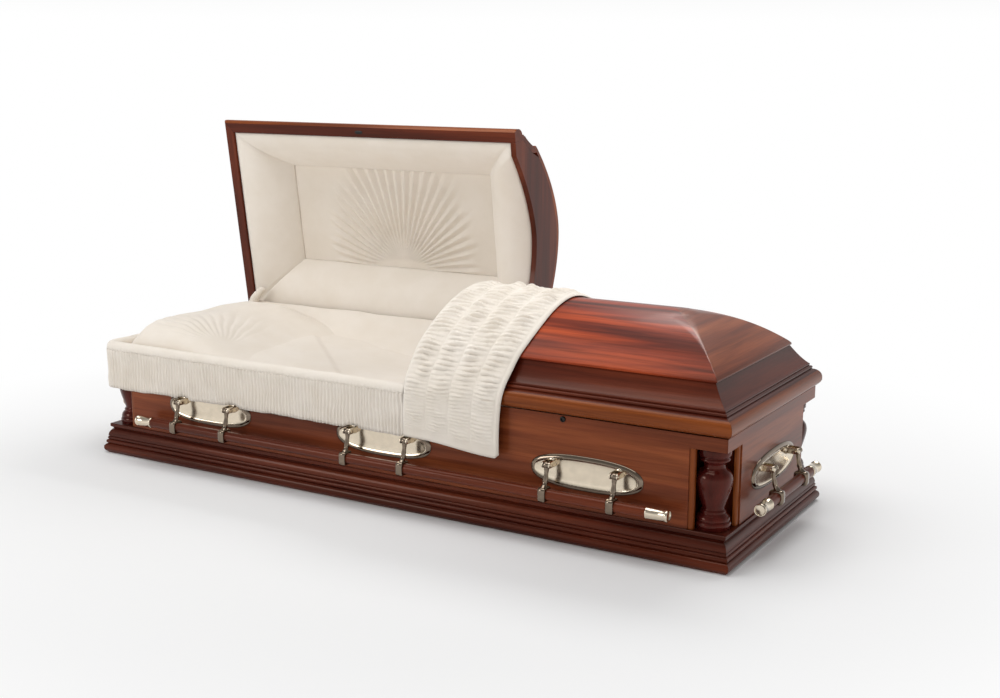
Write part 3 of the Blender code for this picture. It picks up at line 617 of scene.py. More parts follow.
PLATE_LENGTH = 0.325
PLATE_HEIGHT = 0.094
PLATE_EDGE = 0.0065
RIM_BANDS = 7
OVAL_STEPS = 96
PLATE_Z = 0.193
ARM_SPACING = 0.195
ARM_OFFSETS = (-ARM_SPACING / 2, ARM_SPACING / 2)
PIVOT_OUT = 0.0356
PIVOT_Z = 0.2125
PIVOT_RADIUS = 0.0085
ARM_WIDTH = 0.016
ARM_DROP = 0.0748
ARM_LEAN = 0.0122
CHEEK_WIDTH = 0.004
PIVOT_PLAY = 0.0004
BAR_RADIUS = 0.0145
BAR_CLEARANCE = 0.0003
BAR_TIP_RADIUS = 0.0165
BAR_TIP_LENGTH = 0.060
CUP_WALL = 0.0045
CUP_WIDTH = 0.0205


def oval(half_length, half_height, y, steps=OVAL_STEPS):
    """A ring of points on a slightly squared oval."""
    ring = []
    for i in range(steps):
        a = 2 * pi * i / steps
        c, s = cos(a), sin(a)
        reach_x, reach_z = copysign(abs(c) ** 0.80, c), copysign(abs(s) ** 0.80, s)
        ring.append((half_length * reach_x, y, half_height * reach_z))
    return ring


def joined(meshes):
    bm = bmesh.new()
    for mesh in meshes:
        bm.from_mesh(mesh)
    return mesh_from("joined", bm)


FLANGE = [(0.0135, 0.002), (0.0135, 0.0055), (0.012, 0.0072), (0.0095, 0.0080), (0.008, 0.0085)]
PIN = [(0.0048, 0), (0.0048, 0.0009), (0.0040, 0.0016), (0.0022, 0.0021), (0.0004, 0.0022)]


def plate_mesh():
    """Oval back plate: a rolled rim, a groove inside it, a softly domed field and two forked lugs."""
    a, b = PLATE_LENGTH / 2, PLATE_HEIGHT / 2
    rises = [(0.0002, 0.25), (0.0022, 0.48), (0.0055, 0.78), (0.0085, 0.97), (0.0100, 1), (0.0112, 0.95),
             (0.0126, 0.80), (0.0160, 0.62), (0.0215, 0.48), (0.0290, 0.40), (0.0380, 0.38)]
    sections = [(0.0, GAP)] + [(inset, PLATE_EDGE * share) for inset, share in rises]
    plate = lofted("plate", [oval(a - inset, b - inset, -y) for inset, y in sections])
    # The rim bands take the second material, the darker plating with its painted dark reflection.
    for face in plate.polygons[:RIM_BANDS * OVAL_STEPS]:
        face.material_index = 1
    parts = [plate]
    inside = ARM_WIDTH / 2 + PIVOT_PLAY
    drop = PIVOT_Z - PLATE_Z
    for middle in ARM_OFFSETS:
        parts.append(placed(turned_mesh("flange", FLANGE, 32), (middle, 0, drop), 90, "X"))
        for flank in (-1, 1):
            outline = arc((-PIVOT_OUT, drop), PIVOT_RADIUS, 250, 90, ARC_STEPS)
            outline = [(-0.004, drop - 0.0085)] + outline + [(-0.004, drop + 0.0095)]
            face, rim = inside + CHEEK_WIDTH, 0.0012
            centre = PIVOT_OUT * 0.55
            shrunk = [((y + centre) * 0.94 - centre, (z - drop) * 0.90 + drop) for y, z in outline]
            levels = [(inside, outline), (face - rim, outline), (face, shrunk)]
            rings = [[(middle + flank * x, y, z) for y, z in ring] for x, ring in levels]
            parts.append(lofted("cheek", rings))
            place = (middle + flank * (face - 0.0007), -PIVOT_OUT, drop)
            parts.append(placed(turned_mesh("pin", PIN, 20), place, 90 * flank, "Y"))
    return joined(parts)


def tube_along(name, path, sizes, steps=20):
    """A rounded tube along a path of (y, z); sizes are (half width along X, half depth across it)."""
    rings = []
    for i, (y, z) in enumerate(path):
        before, after = path[max(i - 1, 0)], path[min(i + 1, len(path) - 1)]
        along = Vector((after[0] - before[0], after[1] - before[1])).normalized()
        wide, deep = sizes[i]
        ring = []
        for k in range(steps):
            a = 2 * pi * k / steps
            across = deep * sin(a)
            ring.append((wide * cos(a), y - along.y * across, z + along.x * across))
        rings.append(ring)
    return lofted(name, rings)


CUP_STEPS = 48
CUP_EASE = 0.0020


def cup_mesh():
    """Square cup with eased corners, bored through for the bar."""
    bore = BAR_RADIUS + BAR_CLEARANCE
    half = BAR_RADIUS + BAR_CLEARANCE + CUP_WALL
    turns = [2 * pi * i / CUP_STEPS for i in range(CUP_STEPS)]

    def outer(scale):
        ring = []
        for a in turns:
            c, s = cos(a), sin(a)
            reach = half * scale / (abs(c) ** 5 + abs(s) ** 5) ** 0.2
            ring.append((reach * c, reach * s))
        return ring

    inner = [(bore * cos(a), bore * sin(a)) for a in turns]
    wide = CUP_WIDTH / 2
    levels = [(-wide, outer(0.91)), (-wide + CUP_EASE, outer(1.0)), (wide - CUP_EASE, outer(1.0)),
              (wide, outer(0.91)), (wide, inner), (-wide, inner), (-wide, outer(0.91))]
    rings = [[(x, y - ARM_LEAN, z - ARM_DROP) for y, z in ring] for x, ring in levels]
    return lofted("cup", rings, capped=False)


EYE = [(PIVOT_RADIUS - 0.0008, 0), (PIVOT_RADIUS - 0.0002, 0.0012), (PIVOT_RADIUS - 0.0004, 0.0032),
       (PIVOT_RADIUS - 0.0018, 0.0042), (0.0058, 0.0038), (0.0052, 0.0046), (0.0042, 0.0062),
       (0.0022, 0.0074), (0.0004, 0.0078)]
BARREL = [(0.0066, -ARM_WIDTH / 2), (0.0080, -ARM_WIDTH / 2 + 0.0016), (0.0082, 0),
          (0.0080, ARM_WIDTH / 2 - 0.0016), (0.0066, ARM_WIDTH / 2)]
STEM_RING = [(0.0066, -0.0014), (0.0080, -0.0007), (0.0080, 0.0007), (0.0066, 0.0014)]
STEM_RING_PLACE = (0, -0.0058, -0.0425)
CUP_TOP = -ARM_DROP + BAR_RADIUS + CUP_WALL
STEM_PATH = [(0.0, -0.004), (0.0004, -0.010), (0.0002, -0.016), (-0.0012, -0.023), (-0.0030, -0.030),
             (-0.0046, -0.037), (-0.0062, -0.044), (-0.0082, -0.050), (-0.0102, CUP_TOP + 0.002),
             (-0.0116, CUP_TOP - 0.003)]
STEM_SIZES = [(0.0072, 0.0062), (0.0070, 0.0060), (0.0060, 0.0054), (0.0056, 0.0052), (0.0064, 0.0058),
              (0.0072, 0.0064), (0.0072, 0.0066), (0.0064, 0.0062), (0.0078, 0.0085), (0.0094, 0.0120)]


def arm_mesh():
    """Ringed and domed eye, a waisted stem in an S and the square cup; the pivot is the origin."""
    eye = placed(turned_mesh("eye", EYE, 32), ORIGIN, 90, "X")
    barrel = placed(turned_mesh("barrel", BARREL, 28), ORIGIN, 90, "Y")
    ring = placed(turned_mesh("ring", STEM_RING, 24), STEM_RING_PLACE)
    return joined([eye, barrel, tube_along("stem", STEM_PATH, STEM_SIZES), ring, cup_mesh()])


def bar_meshes(half_length):
    """The turned wooden bar, and its two metal tips with rolled rims and recessed ends."""
    inner = half_length - BAR_TIP_LENGTH
    core = turned_mesh("bar", [(BAR_RADIUS, -inner), (BAR_RADIUS, inner)], 48)
    r = BAR_TIP_RADIUS
    collar = ((0.0012, -0.0008), (0, 0.0008), (0, 0.0030), (0.0009, 0.0042))
    end = ((0.0011, 0.0075), (0.0002, 0.0062), (0, 0.0040), (0.0002, 0.0018), (0.0014, 0), (0.0030, 0.0004),
           (0.0042, 0.0030))
    profile = [(BAR_RADIUS, inner - 0.001)] + [(r - a, inner + b) for a, b in collar]
    profile += [(r - a, half_length - b) for a, b in end]
    profile += [(0.0060, half_length - 0.0024), (0.0003, half_length - 0.0018)]
    mirrored = [(radius, -x) for radius, x in profile]
    tips = joined([turned_mesh("tip", outline, 48) for outline in (profile, mirrored)])
    return placed(core, ORIGIN, 90, "Y"), placed(tips, ORIGIN, 90, "Y")


PLATE_XS = {"front": (-0.625, 0.020, 0.662), "back": (-0.662, -0.020, 0.625), "foot": (0.0,),
            "head": (0.0,)}
BAR_REACH = {"front": 0.225, "back": 0.225, "foot": 0.195, "head": 0.195}


def build_handles(side):
    """The plates, swing arms and bar of one side."""
    centres = PLATE_XS[side]
    plane = half_run(side)[1]
    place = turned_about(side)
    body = side + "_handle"
    for index, x in enumerate(centres):
        tail = f"_{index + 1}" if len(centres) > 1 else ""
        plate = plate_mesh()
        plate.transform(place @ Matrix.Translation((x, -plane, PLATE_Z)))
        piece = metal_piece(f"{side}_oval_plate{tail}", plate, NICKEL, "shell", [f"{side}_plate{tail}"])
        # The plate's rim gets the darker plating: painted dark reflection.
        piece.data.materials.append(DARK_REFLECTION_NICKEL)
        for step, offset in enumerate(ARM_OFFSETS):
            arm = arm_mesh()
            arm.transform(place @ Matrix.Translation((x + offset, -plane - PIVOT_OUT, PIVOT_Z)))
            number = 2 * index + step + 1
            # Arms in the darker plating, whose dark tone is painted reflection.
            metal_piece(f"{side}_swing_arm_{number}", arm, DARK_REFLECTION_NICKEL, body, [f"{side}_arm_{number}"])
    half_length = (centres[-1] - centres[0]) / 2 + BAR_REACH[side] + BAR_TIP_LENGTH / 2
    core, tips = bar_meshes(half_length)
    middle = (centres[-1] + centres[0]) / 2
    shift = place @ Matrix.Translation((middle, -plane - PIVOT_OUT - ARM_LEAN, PIVOT_Z - ARM_DROP))
    core.transform(shift)
    tips.transform(shift)
    wooden = BAR_WOOD[grain_of(side)]
    piece_from(f"{side}_carrying_bar", core, wooden, body, [f"{side}_bar"], sharp=50)
    metal_piece(f"{side}_bar_tips", tips, NICKEL, body)


# Small fittings

LOCK_PLACE = (0.592, 0.331)
LOCK_PROFILE = [(0.0078, 0.0), (0.0078, 0.0022), (0.0070, 0.0034), (0.0052, 0.0038), (0.0046, 0.0030),
                (0.0044, 0.0006), (0.0002, 0.0006)]
LATCH_X = -0.485
LATCH_SECTIONS = ((0.015, 0.0055, 0.0), (0.015, 0.0055, 0.0006), (0.0144, 0.0049, 0.0009))
LATCH_SCREW = [(0.0024, 0.0007), (0.0022, 0.0011), (0.0010, 0.0013), (0.0002, 0.0013)]
LATCH_SCREWS = (-0.010, 0.010)
HINGE_XS = {"head_lid": (-0.88, -0.46, -0.04), "foot_lid": (0.26, 0.58, 0.90)}
HINGE_LENGTH = 0.070
HINGE_KNUCKLES = 5
HINGE_SCREW = [(0.0030, 0.0), (0.0028, 0.0006), (0.0015, 0.0010), (0.0002, 0.0011)]
HINGE_SCREWS = (-0.022, 0.0, 0.022)
KNUCKLE_RADIUS = 0.0023
LEAF_FACE = HALF_WIDTH + 0.0018


def build_lock():
    """Key escutcheon of the foot lid, with a sunk socket."""
    x, z = LOCK_PLACE
    mesh = placed(turned_mesh("lock", LOCK_PROFILE, 36), (x, -HALF_WIDTH - GAP, z), 90, "X")
    metal_piece("lock_escutcheon", mesh, DARK_METAL, "shell")


def build_latch():
    """Striker plate let into the rim of the head lid, with its two screws."""
    parts = [placed(lofted("latch", [oval(a, b, y) for a, b, y in LATCH_SECTIONS]), ORIGIN, 90, "X")]
    parts += [placed(turned_mesh("screw", LATCH_SCREW, 20), (x, 0, 0)) for x in LATCH_SCREWS]
    mesh = placed(joined(parts), (LATCH_X, -HALF_WIDTH + 0.010, RIM_BOTTOM - GAP), 180, "X")
    metal_piece("lid_latch", opened(mesh), DARK_METAL, "head_lid")


def hinge_mesh(x):
    """One butt hinge: its knuckles on the hinge line, and the leaf on the shell with its screws."""
    half = HINGE_LENGTH / HINGE_KNUCKLES / 2 - 0.0003
    barrel = [(KNUCKLE_RADIUS - 0.0005, -half), (KNUCKLE_RADIUS, -half + 0.0006),
              (KNUCKLE_RADIUS, half - 0.0006), (KNUCKLE_RADIUS - 0.0005, half)]
    outline = [(HALF_WIDTH + GAP, HINGE_Z - 0.034), (LEAF_FACE, HINGE_Z - 0.0335),
               (LEAF_FACE, HINGE_Z - 0.010), (HINGE_Y + 0.0005, HINGE_Z - 0.0024),
               (HINGE_Y - 0.0018, HINGE_Z - 0.0020), (HALF_WIDTH + GAP, HINGE_Z - 0.010)]
    parts = []
    for k in range(HINGE_KNUCKLES):
        middle = x + (k - 2) * HINGE_LENGTH / HINGE_KNUCKLES
        parts.append(placed(turned_mesh("knuckle", barrel, 24), (middle, HINGE_Y, HINGE_Z), 90, "Y"))
    parts.append(extruded("leaf", outline, x - HINGE_LENGTH / 2, x + HINGE_LENGTH / 2))
    for offset in HINGE_SCREWS:
        place = (x + offset, HALF_WIDTH + 0.0016, HINGE_Z - 0.022)
        parts.append(placed(turned_mesh("screw", HINGE_SCREW, 18), place, -90, "X"))
    return joined(parts)


def build_hinges():
    for lid, places in HINGE_XS.items():
        for number, x in enumerate(places):
            metal_piece(f"{lid}_hinge_{number + 1}", hinge_mesh(x), NICKEL, "shell")


# Cloth

CLOTH_THICKNESS = 0.0022
ROLL_CORNER = 0.026
ROLL_COLUMNS = 1060
ROLL_ROWS = 24
RIM_CLOTH_END = SPLIT_X - 0.005
HEAD_CLOTH_END = HALF_WIDTH - PANEL_THICKNESS - 0.002
FRONT_RUN = RIM_CLOTH_END + HALF_LENGTH - ROLL_CORNER
CORNER_RUN = pi / 2 * ROLL_CORNER
GATHER_PITCH = 0.0118
SKIRT_TOP = 0.3408
SKIRT_THICKNESS = 0.0012
SKIRT_FOLD_DEPTH = 0.0044
SKIRT_STANDOFF = 0.0106
HEM_Z = 0.2165
HEM_CLEAR_Z = 0.2245
LUG_XS = [x + offset for x in PLATE_XS["front"] for offset in ARM_OFFSETS]


def ease(low, high, value):
    """A smooth step from 0 at low to 1 at high."""
    share = np.clip((value - low) / (high - low), 0, 1)
    return share * share * (3 - 2 * share)


def waves(u, v, seed, pitches, count=6):
    """Smooth wandering between about -1 and 1, the sum of a few waves in seeded directions."""
    source = random.Random(seed)
    total = 0.0
    for _ in range(count):
        heading = source.uniform(0, pi)
        pitch = source.uniform(*pitches)
        phase = source.uniform(0, 2 * pi)
        total = total + np.sin(2 * pi * (u * cos(heading) + v * sin(heading)) / pitch + phase)
    return total / count ** 0.5 / 1.4


def humps(angle):
    """Round folds with sharp valleys between them, one for each half turn."""
    return np.abs(np.sin(angle))


def rounded_path(points, rounds=3):
    """Cuts the corners of an open path until it is smooth."""
    path = np.array(points, float)
    for _ in range(rounds):
        quarter = 0.75 * path[:-1] + 0.25 * path[1:]
        three = 0.25 * path[:-1] + 0.75 * path[1:]
        cut = np.stack([quarter, three], axis=1).reshape(-1, path.shape[1])
        path = np.concatenate([path[:1], cut, path[-1:]])
    return path


def resampled(path, count):
    """Evenly spaced points along a path, and how far along it each is."""
    lengths = np.concatenate([[0], np.cumsum(np.linalg.norm(np.diff(path, axis=0), axis=1))])
    wanted = np.linspace(0, lengths[-1], count)
    return np.stack([np.interp(wanted, lengths, path[:, k]) for k in range(path.shape[1])], axis=1), wanted


def grid(x, y, z):
    """Coordinates of rows and columns as one array of points."""
    return np.stack(np.broadcast_arrays(x, y, z), axis=-1)


def slab(name, front, back, looped=False):
    """A closed skin of two grids of points, front and back, with strips along the open edges."""
    rows, columns = front.shape[:2]
    f = np.arange(rows * columns).reshape(rows, columns)
    if looped:
        f = np.concatenate([f, f[:, :1]], axis=1)
    g = f + rows * columns
    faces = [(f[:-1, :-1], f[:-1, 1:], f[1:, 1:], f[1:, :-1]),
             (g[:-1, :-1], g[1:, :-1], g[1:, 1:], g[:-1, 1:]), (f[0, :-1], g[0, :-1], g[0, 1:], f[0, 1:]),
             (f[-1, :-1], f[-1, 1:], g[-1, 1:], g[-1, :-1])]
    if not looped:
        faces += [(f[:-1, 0], f[1:, 0], g[1:, 0], g[:-1, 0]),
                  (f[:-1, -1], g[:-1, -1], g[1:, -1], f[1:, -1])]
    quads = np.concatenate([np.stack(corners, axis=-1).reshape(-1, 4) for corners in faces])
    mesh = bpy.data.meshes.new(name)
    points = np.concatenate([front.reshape(-1, 3), back.reshape(-1, 3)])
    mesh.from_pydata(points.tolist(), [], quads.tolist())
    return mesh


def velvet_piece(name, mesh, body, stands_for=(), material=VELVET):
    return piece_from(name, mesh, material, body, stands_for, sharp=SMOOTH)


def soft_piece(name, front, back, body, stands_for=(), material=VELVET, looped=False):
    """Cloth or padding between two grids of points; what is in the head lid is modelled closed."""
    mesh = slab(name, front, back, looped)
    if body == "head_lid":
        opened(mesh)
    return velvet_piece(name, mesh, body, stands_for, material)


def around_rim(s, d):
    """Place of a point at a run s along the front and head-end rims, standing d out from the body."""
    angle = np.clip((s - FRONT_RUN) / ROLL_CORNER, 0, pi / 2)
    past = s - FRONT_RUN - CORNER_RUN
    base_x = np.where(s < FRONT_RUN, RIM_CLOTH_END - s, -HALF_LENGTH + ROLL_CORNER)
    base_y = -HALF_WIDTH + ROLL_CORNER + np.where(past > 0, past, 0)
    return base_x - np.sin(angle) * (ROLL_CORNER + d), base_y - np.cos(angle) * (ROLL_CORNER + d)


RIM_RUN = FRONT_RUN + CORNER_RUN + HEAD_CLOTH_END + HALF_WIDTH - ROLL_CORNER


ROLL_OUTSIDE = [(-0.0225, 0.285), (-0.0225, 0.325), (-0.0240, 0.350), (-0.0190, 0.3605), (-0.0080, 0.3650),
                (0.0030, 0.3645), (0.0105, 0.3590), (0.0140, 0.3500), (0.0146, 0.3430), (0.0140, 0.3395),
                (0.0080, 0.3385)]
ROLL_INSIDE = [(-0.0200, 0.285), (-0.0200, 0.325), (-0.0200, 0.3415), (-0.0060, 0.3418), (0.0005, 0.3418),
               (0.0010, 0.3380), (0.0015, 0.3355)]
ROLL_FOLD_DEPTH = 0.0022
TUCK_PITCH = 0.011
TUCK_DEPTH = 0.0014


def build_rim_roll():
    """Padded roll over the front and head-end rims, its cloth drawn in tight along the gathers."""
    S = np.linspace(0, RIM_RUN, ROLL_COLUMNS)[None, :]
    outside, inside = rounded_path(ROLL_OUTSIDE), rounded_path(ROLL_INSIDE, 2)

    def layer(profile, seen):
        profile, _ = resampled(profile, ROLL_ROWS)
        d, z = profile[:, 0][:, None], profile[:, 1][:, None]
        low = ease(0.356, 0.341, z) * ease(-0.005, 0.004, d) * seen
        fold = humps(pi * S / GATHER_PITCH + 1.2 * waves(S, 0 * S, 4, (0.06, 0.25)))
        bulge = 0.0010 * waves(S, z, 11, (0.07, 0.30)) * seen
        inner = ease(0.000, -0.020, d) * ease(0.340, 0.352, z) * seen
        tuck = humps(pi * S / TUCK_PITCH + 1.5 * waves(S, 0 * S, 5, (0.05, 0.2)))
        tuck = tuck * ease(-0.2, 0.9, waves(S, 0 * S, 9, (0.2, 0.5)))
        d = d + ROLL_FOLD_DEPTH * (fold - 0.6) * low + bulge
        rumple = 0.0008 * waves(S, d, 12, (0.08, 0.35)) * ease(0.342, 0.356, z) * seen
        z = z + rumple - TUCK_DEPTH * tuck * inner
        return grid(*around_rim(S + 0 * d, d), z)

    roll = soft_piece("rim_roll", layer(outside, 1.0), layer(inside, 0.0), "shell", ["body_lining"])
    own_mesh(roll)


def build_skirt():
    """Gathered skirt hanging from the roll, its hem a little uneven and lifted over the handle lugs."""
    columns = int(RIM_RUN / GATHER_PITCH * 7)
    down = np.concatenate([np.linspace(0, 0.16, 4), np.linspace(0.24, 1, 10)])
    S, T = np.meshgrid(np.linspace(0, RIM_RUN, columns), down)
    x_here, y_here = around_rim(S, 0 * S)
    hem = HEM_Z + 0.0022 * waves(S, 0 * S, 21, (0.05, 0.30)) + 0.0010 * humps(pi * S / GATHER_PITCH)
    lugs = [(x_here, lug, S < FRONT_RUN) for lug in LUG_XS]
    lugs += [(y_here, lug, S > FRONT_RUN + 0.03) for lug in ARM_OFFSETS]
    for here, lug, on_side in lugs:
        near = ease(0.030, 0.014, np.abs(here - lug)) * on_side
        hem = hem + (HEM_CLEAR_Z - hem) * near * (hem < HEM_CLEAR_Z)
    z = SKIRT_TOP + (hem - SKIRT_TOP) * T
    wander = 1.0 * waves(S, 0.12 * T, 22, (0.06, 0.22)) + 0.35 * waves(S, 0.4 * T, 23, (0.03, 0.08))
    depth = SKIRT_FOLD_DEPTH + 0.0012 * waves(S, 0.3 * T, 24, (0.03, 0.12)) + 0.0008 * T
    hang = SKIRT_STANDOFF - 0.0020 * ease(0.0, 0.30, T) + 0.0012 * waves(S, 0.3 * T, 25, (0.09, 0.3)) * T
    corner = ease(0.10, 0.0, np.abs(S - FRONT_RUN - ROLL_CORNER * 0.8))
    d = hang + depth * humps(pi * S / GATHER_PITCH + wander) + 0.0010 * corner
    outer, inner = grid(*around_rim(S, d), z), grid(*around_rim(S, d - SKIRT_THICKNESS), z)
    skirt = soft_piece("rim_skirt", outer, inner, "shell")


BACK_CLOTH_START = -HALF_LENGTH + PANEL_THICKNESS + 0.003
BACK_COLUMNS = 360
BACK_LOW_ROWS = 20
BACK_HIGH_ROWS = 14
BACK_OUTSIDE = [(0.190, 0.292), (0.215, 0.300), (0.255, 0.330), (0.285, 0.368), (0.305, 0.389),
                (0.320, 0.400), (0.332, 0.403), (0.342, 0.396), (0.343, 0.383), (0.3405, 0.370)]
BACK_EDGE = [(0.300, 0.3455), (0.3185, 0.3455), (0.326, 0.347), (0.334, 0.350), (0.336, 0.356),
             (0.337, 0.364)]


def build_back_roll():
    """Soft bolster along the back rim, in an S up from the bed and over the hinges to the open lid."""
    outside, _ = resampled(rounded_path(BACK_OUTSIDE), BACK_LOW_ROWS + BACK_HIGH_ROWS)
    back_edge, _ = resampled(rounded_path(BACK_EDGE, 2), BACK_HIGH_ROWS)
    X = np.linspace(BACK_CLOTH_START, RIM_CLOTH_END, BACK_COLUMNS)[None, :]
    y, z = outside[:, 0][:, None], outside[:, 1][:, None]
    raised = z + (mattress_top(X) - MATTRESS_LOW) * (1 - ease(0.19, 0.325, y))
    soft = 0.0018 * waves(X, 2 * y, 31, (0.10, 0.40), 9)
    outer_z = raised + soft * ease(0.20, 0.25, y) * ease(0.345, 0.335, y)
    low_z = np.minimum(outer_z[:BACK_LOW_ROWS] - 0.004, 0.3455)
    low_part = grid(X, np.minimum(y[:BACK_LOW_ROWS], 0.300), low_z)
    high_part = grid(X, back_edge[:, :1], back_edge[:, 1:])
    roll = soft_piece("back_rim_roll", grid(X, y, outer_z), np.concatenate([low_part, high_part]), "shell")
    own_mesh(roll)


MATTRESS_LOW = 0.285
MATTRESS_HIGH = 0.330
RAISE_START = -0.157
RAISE_END = -0.577
MATTRESS_EDGE = 0.010
BED_HALF_WIDTH = HALF_WIDTH - PANEL_THICKNESS - 0.0045
BED_HEAD_END = -HALF_LENGTH + PANEL_THICKNESS + 0.0045
BED_FOOT_END = HALF_LENGTH - NICHE_WIDTH - 0.005
BED_GRID = (290, 90)
COVER_FOLD = ((-0.317, 0.0, 0.317), (-0.085, -0.44, -0.79))
COVER_FOLD_HEIGHT = 0.0060


def mattress_top(x):
    return MATTRESS_LOW + (MATTRESS_HIGH - MATTRESS_LOW) * ease(RAISE_START, RAISE_END, x)


def build_bed():
    """The mattress and the cover laid over it, turned back on the slant and tucked in at the walls."""
    mattress = velvet_piece("mattress_pad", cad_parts["mattress"].data.copy(), "shell", ["mattress"])
    bevelled(mattress, MATTRESS_EDGE, 3, least_angle=30)
    half, head_end, foot_end = BED_HALF_WIDTH, BED_HEAD_END, BED_FOOT_END
    X, Y = np.meshgrid(np.linspace(head_end, foot_end, BED_GRID[0]), np.linspace(-half, half, BED_GRID[1]))
    edge = np.minimum.reduce([half - np.abs(Y), X - head_end, foot_end - X])
    fold_x = np.interp(Y, *COVER_FOLD)
    beyond = X - fold_x + 0.006 * waves(X, Y, 41, (0.15, 0.4))
    turned = COVER_FOLD_HEIGHT * ease(0.022, -0.014, beyond) * ease(0.42, 0.05, -beyond)
    soft = 0.0013 * waves(X, Y, 42, (0.10, 0.45), 10)
    soft = soft + 0.0010 * waves(X - 0.8 * Y, 0.2 * Y, 43, (0.05, 0.16))
    Z = mattress_top(X) + 0.0035 + 0.003 * ease(-0.2, 0.2, X) + 0.0100 * ease(0.0, 0.16, edge) + turned
    Z = Z + soft * ease(0.0, 0.05, edge) - 0.022 * ease(0.006, 0.0, edge)
    cover = soft_piece("bed_cover", grid(X, Y, Z), grid(X, Y, Z - CLOTH_THICKNESS), "shell")


PILLOW_START = -1.014
PILLOW_END = -0.500
PILLOW_HALF_WIDTH = 0.311
PILLOW_BOTTOM = 0.3345
PILLOW_LIFT = 0.090
PILLOW_GRID = (176, 144)
FAN_CENTRE = (-0.655, -0.235)
FAN_PLEATS = 22
FAN_DEPTH = 0.0038


def build_pillow():
    """Broad pillow, steep at the head end and running out onto the bed, with a fan of shallow pleats."""
    U, V = np.meshgrid(np.linspace(0, 1, PILLOW_GRID[0]), np.linspace(-1, 1, PILLOW_GRID[1]))
    X = PILLOW_START + (PILLOW_END - PILLOW_START) * U
    X = X + 0.012 * np.abs(V) ** 6 * ease(0.3, 0.0, U)
    Y = PILLOW_HALF_WIDTH * V * (1 - 0.07 * ease(0.55, 1.0, U))
    slope = ease(0.0, 0.14, U) ** 0.5 * (1 - ease(0.28, 1.0, U))
    crown = slope * np.clip(1 - np.abs(V) ** 7, 0, 1) ** 0.55
    away_x, away_y = X - FAN_CENTRE[0], Y - FAN_CENTRE[1]
    distance = np.hypot(away_x, away_y)
    heading = np.arctan2(away_y, -away_x)
    pleat = humps(heading * FAN_PLEATS + 0.4 * waves(X, Y, 52, (0.1, 0.3)))
    reach = ease(0.05, 0.12, distance) * ease(0.38, 0.20, distance) * ease(0.0, 0.25, 1 - np.abs(V))
    reach = reach * ease(0.25, 0.80, np.cos(heading - 0.35))
    relief = FAN_DEPTH * (pleat - 0.6) * reach + 0.0016 * waves(X, Y, 53, (0.08, 0.26), 9)
    top = PILLOW_BOTTOM + PILLOW_LIFT * crown + relief * np.clip(crown * 2, 0, 1)
    low = grid(X, Y, PILLOW_BOTTOM - 0.003)
    pillow = soft_piece("plump_pillow", grid(X, Y, top), low, "shell", ["pillow"])
    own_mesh(pillow)


LINING_SPANS = {"head": (-HALF_LENGTH + RIM_LAND + 2 * GAP,
                         SPLIT_X - HALF_SPLIT - HEADER_THICKNESS - 2 * GAP),
                "foot": (SPLIT_X + HALF_SPLIT + HEADER_THICKNESS + 2 * GAP,
                         HALF_LENGTH - RIM_LAND - 2 * GAP)}
LINING_HALF = HALF_WIDTH - RIM_LAND - 2 * GAP
LINING_Z = RIM_BOTTOM + 0.006
PANEL_DEPTH = 0.112
PANEL_OVERLAP = 0.010
LID_PANEL_THICKNESS = 0.002
BOLSTER = 0.152
BOLSTER_THICKNESS = 0.005
BOLSTER_GRIDS = {"head": (130, 32), "foot": (80, 26)}
FRONT_BOLSTER = 0.130
LINING_CORNERS = [(-1, -1), (1, -1), (1, 1), (-1, 1)]


def arch_height(y):
    half = HALF_WIDTH - RIM_LAND - GAP - HEADER_SHOULDER
    return HEADER_ARCH_RISE * (1 - np.clip(np.abs(y) / half, 0, 1) ** HEADER_ARCH_CURVE)


def build_lid_bolsters(which):
    """Four mitred bolsters inside a lid; the one at the cut end follows the arch."""
    left, right = LINING_SPANS[which]
    arched = 1 if which == "head" else 3
    per_side, across = BOLSTER_GRIDS[which]
    t = np.linspace(0, 1, across)[:, None]
    f = (np.arange(per_side) / per_side)[None, :]
    centre_x, half_x = (left + right) / 2, (right - left) / 2
    low, high = -LINING_HALF + FRONT_BOLSTER * t, LINING_HALF - BOLSTER * t
    middle = np.sin(pi * t)
    layers = []
    for k in range(4):
        (ax, ay), (bx, by) = LINING_CORNERS[k], LINING_CORNERS[(k + 1) % 4]
        x = centre_x + (half_x - BOLSTER * t) * (ax + (bx - ax) * f)
        y = (low + high) / 2 + (high - low) / 2 * (ay + (by - ay) * f)
        depth = PANEL_DEPTH * t ** (2.5 if k == 2 else 2.0)
        if k == arched:
            outer_y = LINING_HALF * (ay + (by - ay) * f)
            depth = depth + arch_height(outer_y) * 0.97 * (1 - t) ** 1.15
        mitre = np.minimum(f, 1 - f) * (2 * half_x if k % 2 == 0 else 2 * LINING_HALF)
        pucker = np.sin(2 * pi * mitre / 0.014) * ease(0.07, 0.0, mitre) * middle
        depth = depth - 0.0016 * waves(x, y, 61 + k, (0.10, 0.5)) * middle - 0.0009 * pucker
        depth = depth + 0.0060 * ease(0.012, 0.0, mitre) * middle * 0.6
        layers.append(grid(x, y, LINING_Z + depth + 0.004 * ease(0.05, 0.0, t)))
    front = np.concatenate(layers, axis=1)
    back = front + np.array([0.0, 0.0, BOLSTER_THICKNESS])
    stands_for = ["head_lid_lining"] if which == "head" else ()
    bolsters = soft_piece(which + "_lid_bolsters", front, back, which + "_lid", stands_for, looped=True)


RAYS = 29
RAY_LENGTH = 0.315
RAY_GROWTH = 0.15
RAY_DEPTH = 0.0115
SUN_OFFSET = 0.028
SUN_SIZE = (0.125, 0.036)
PANEL_NAMES = {"head": "head_lid_sunburst_panel", "foot": "foot_lid_panel"}
PANEL_GRIDS = {"head": (290, 124), "foot": (60, 40)}


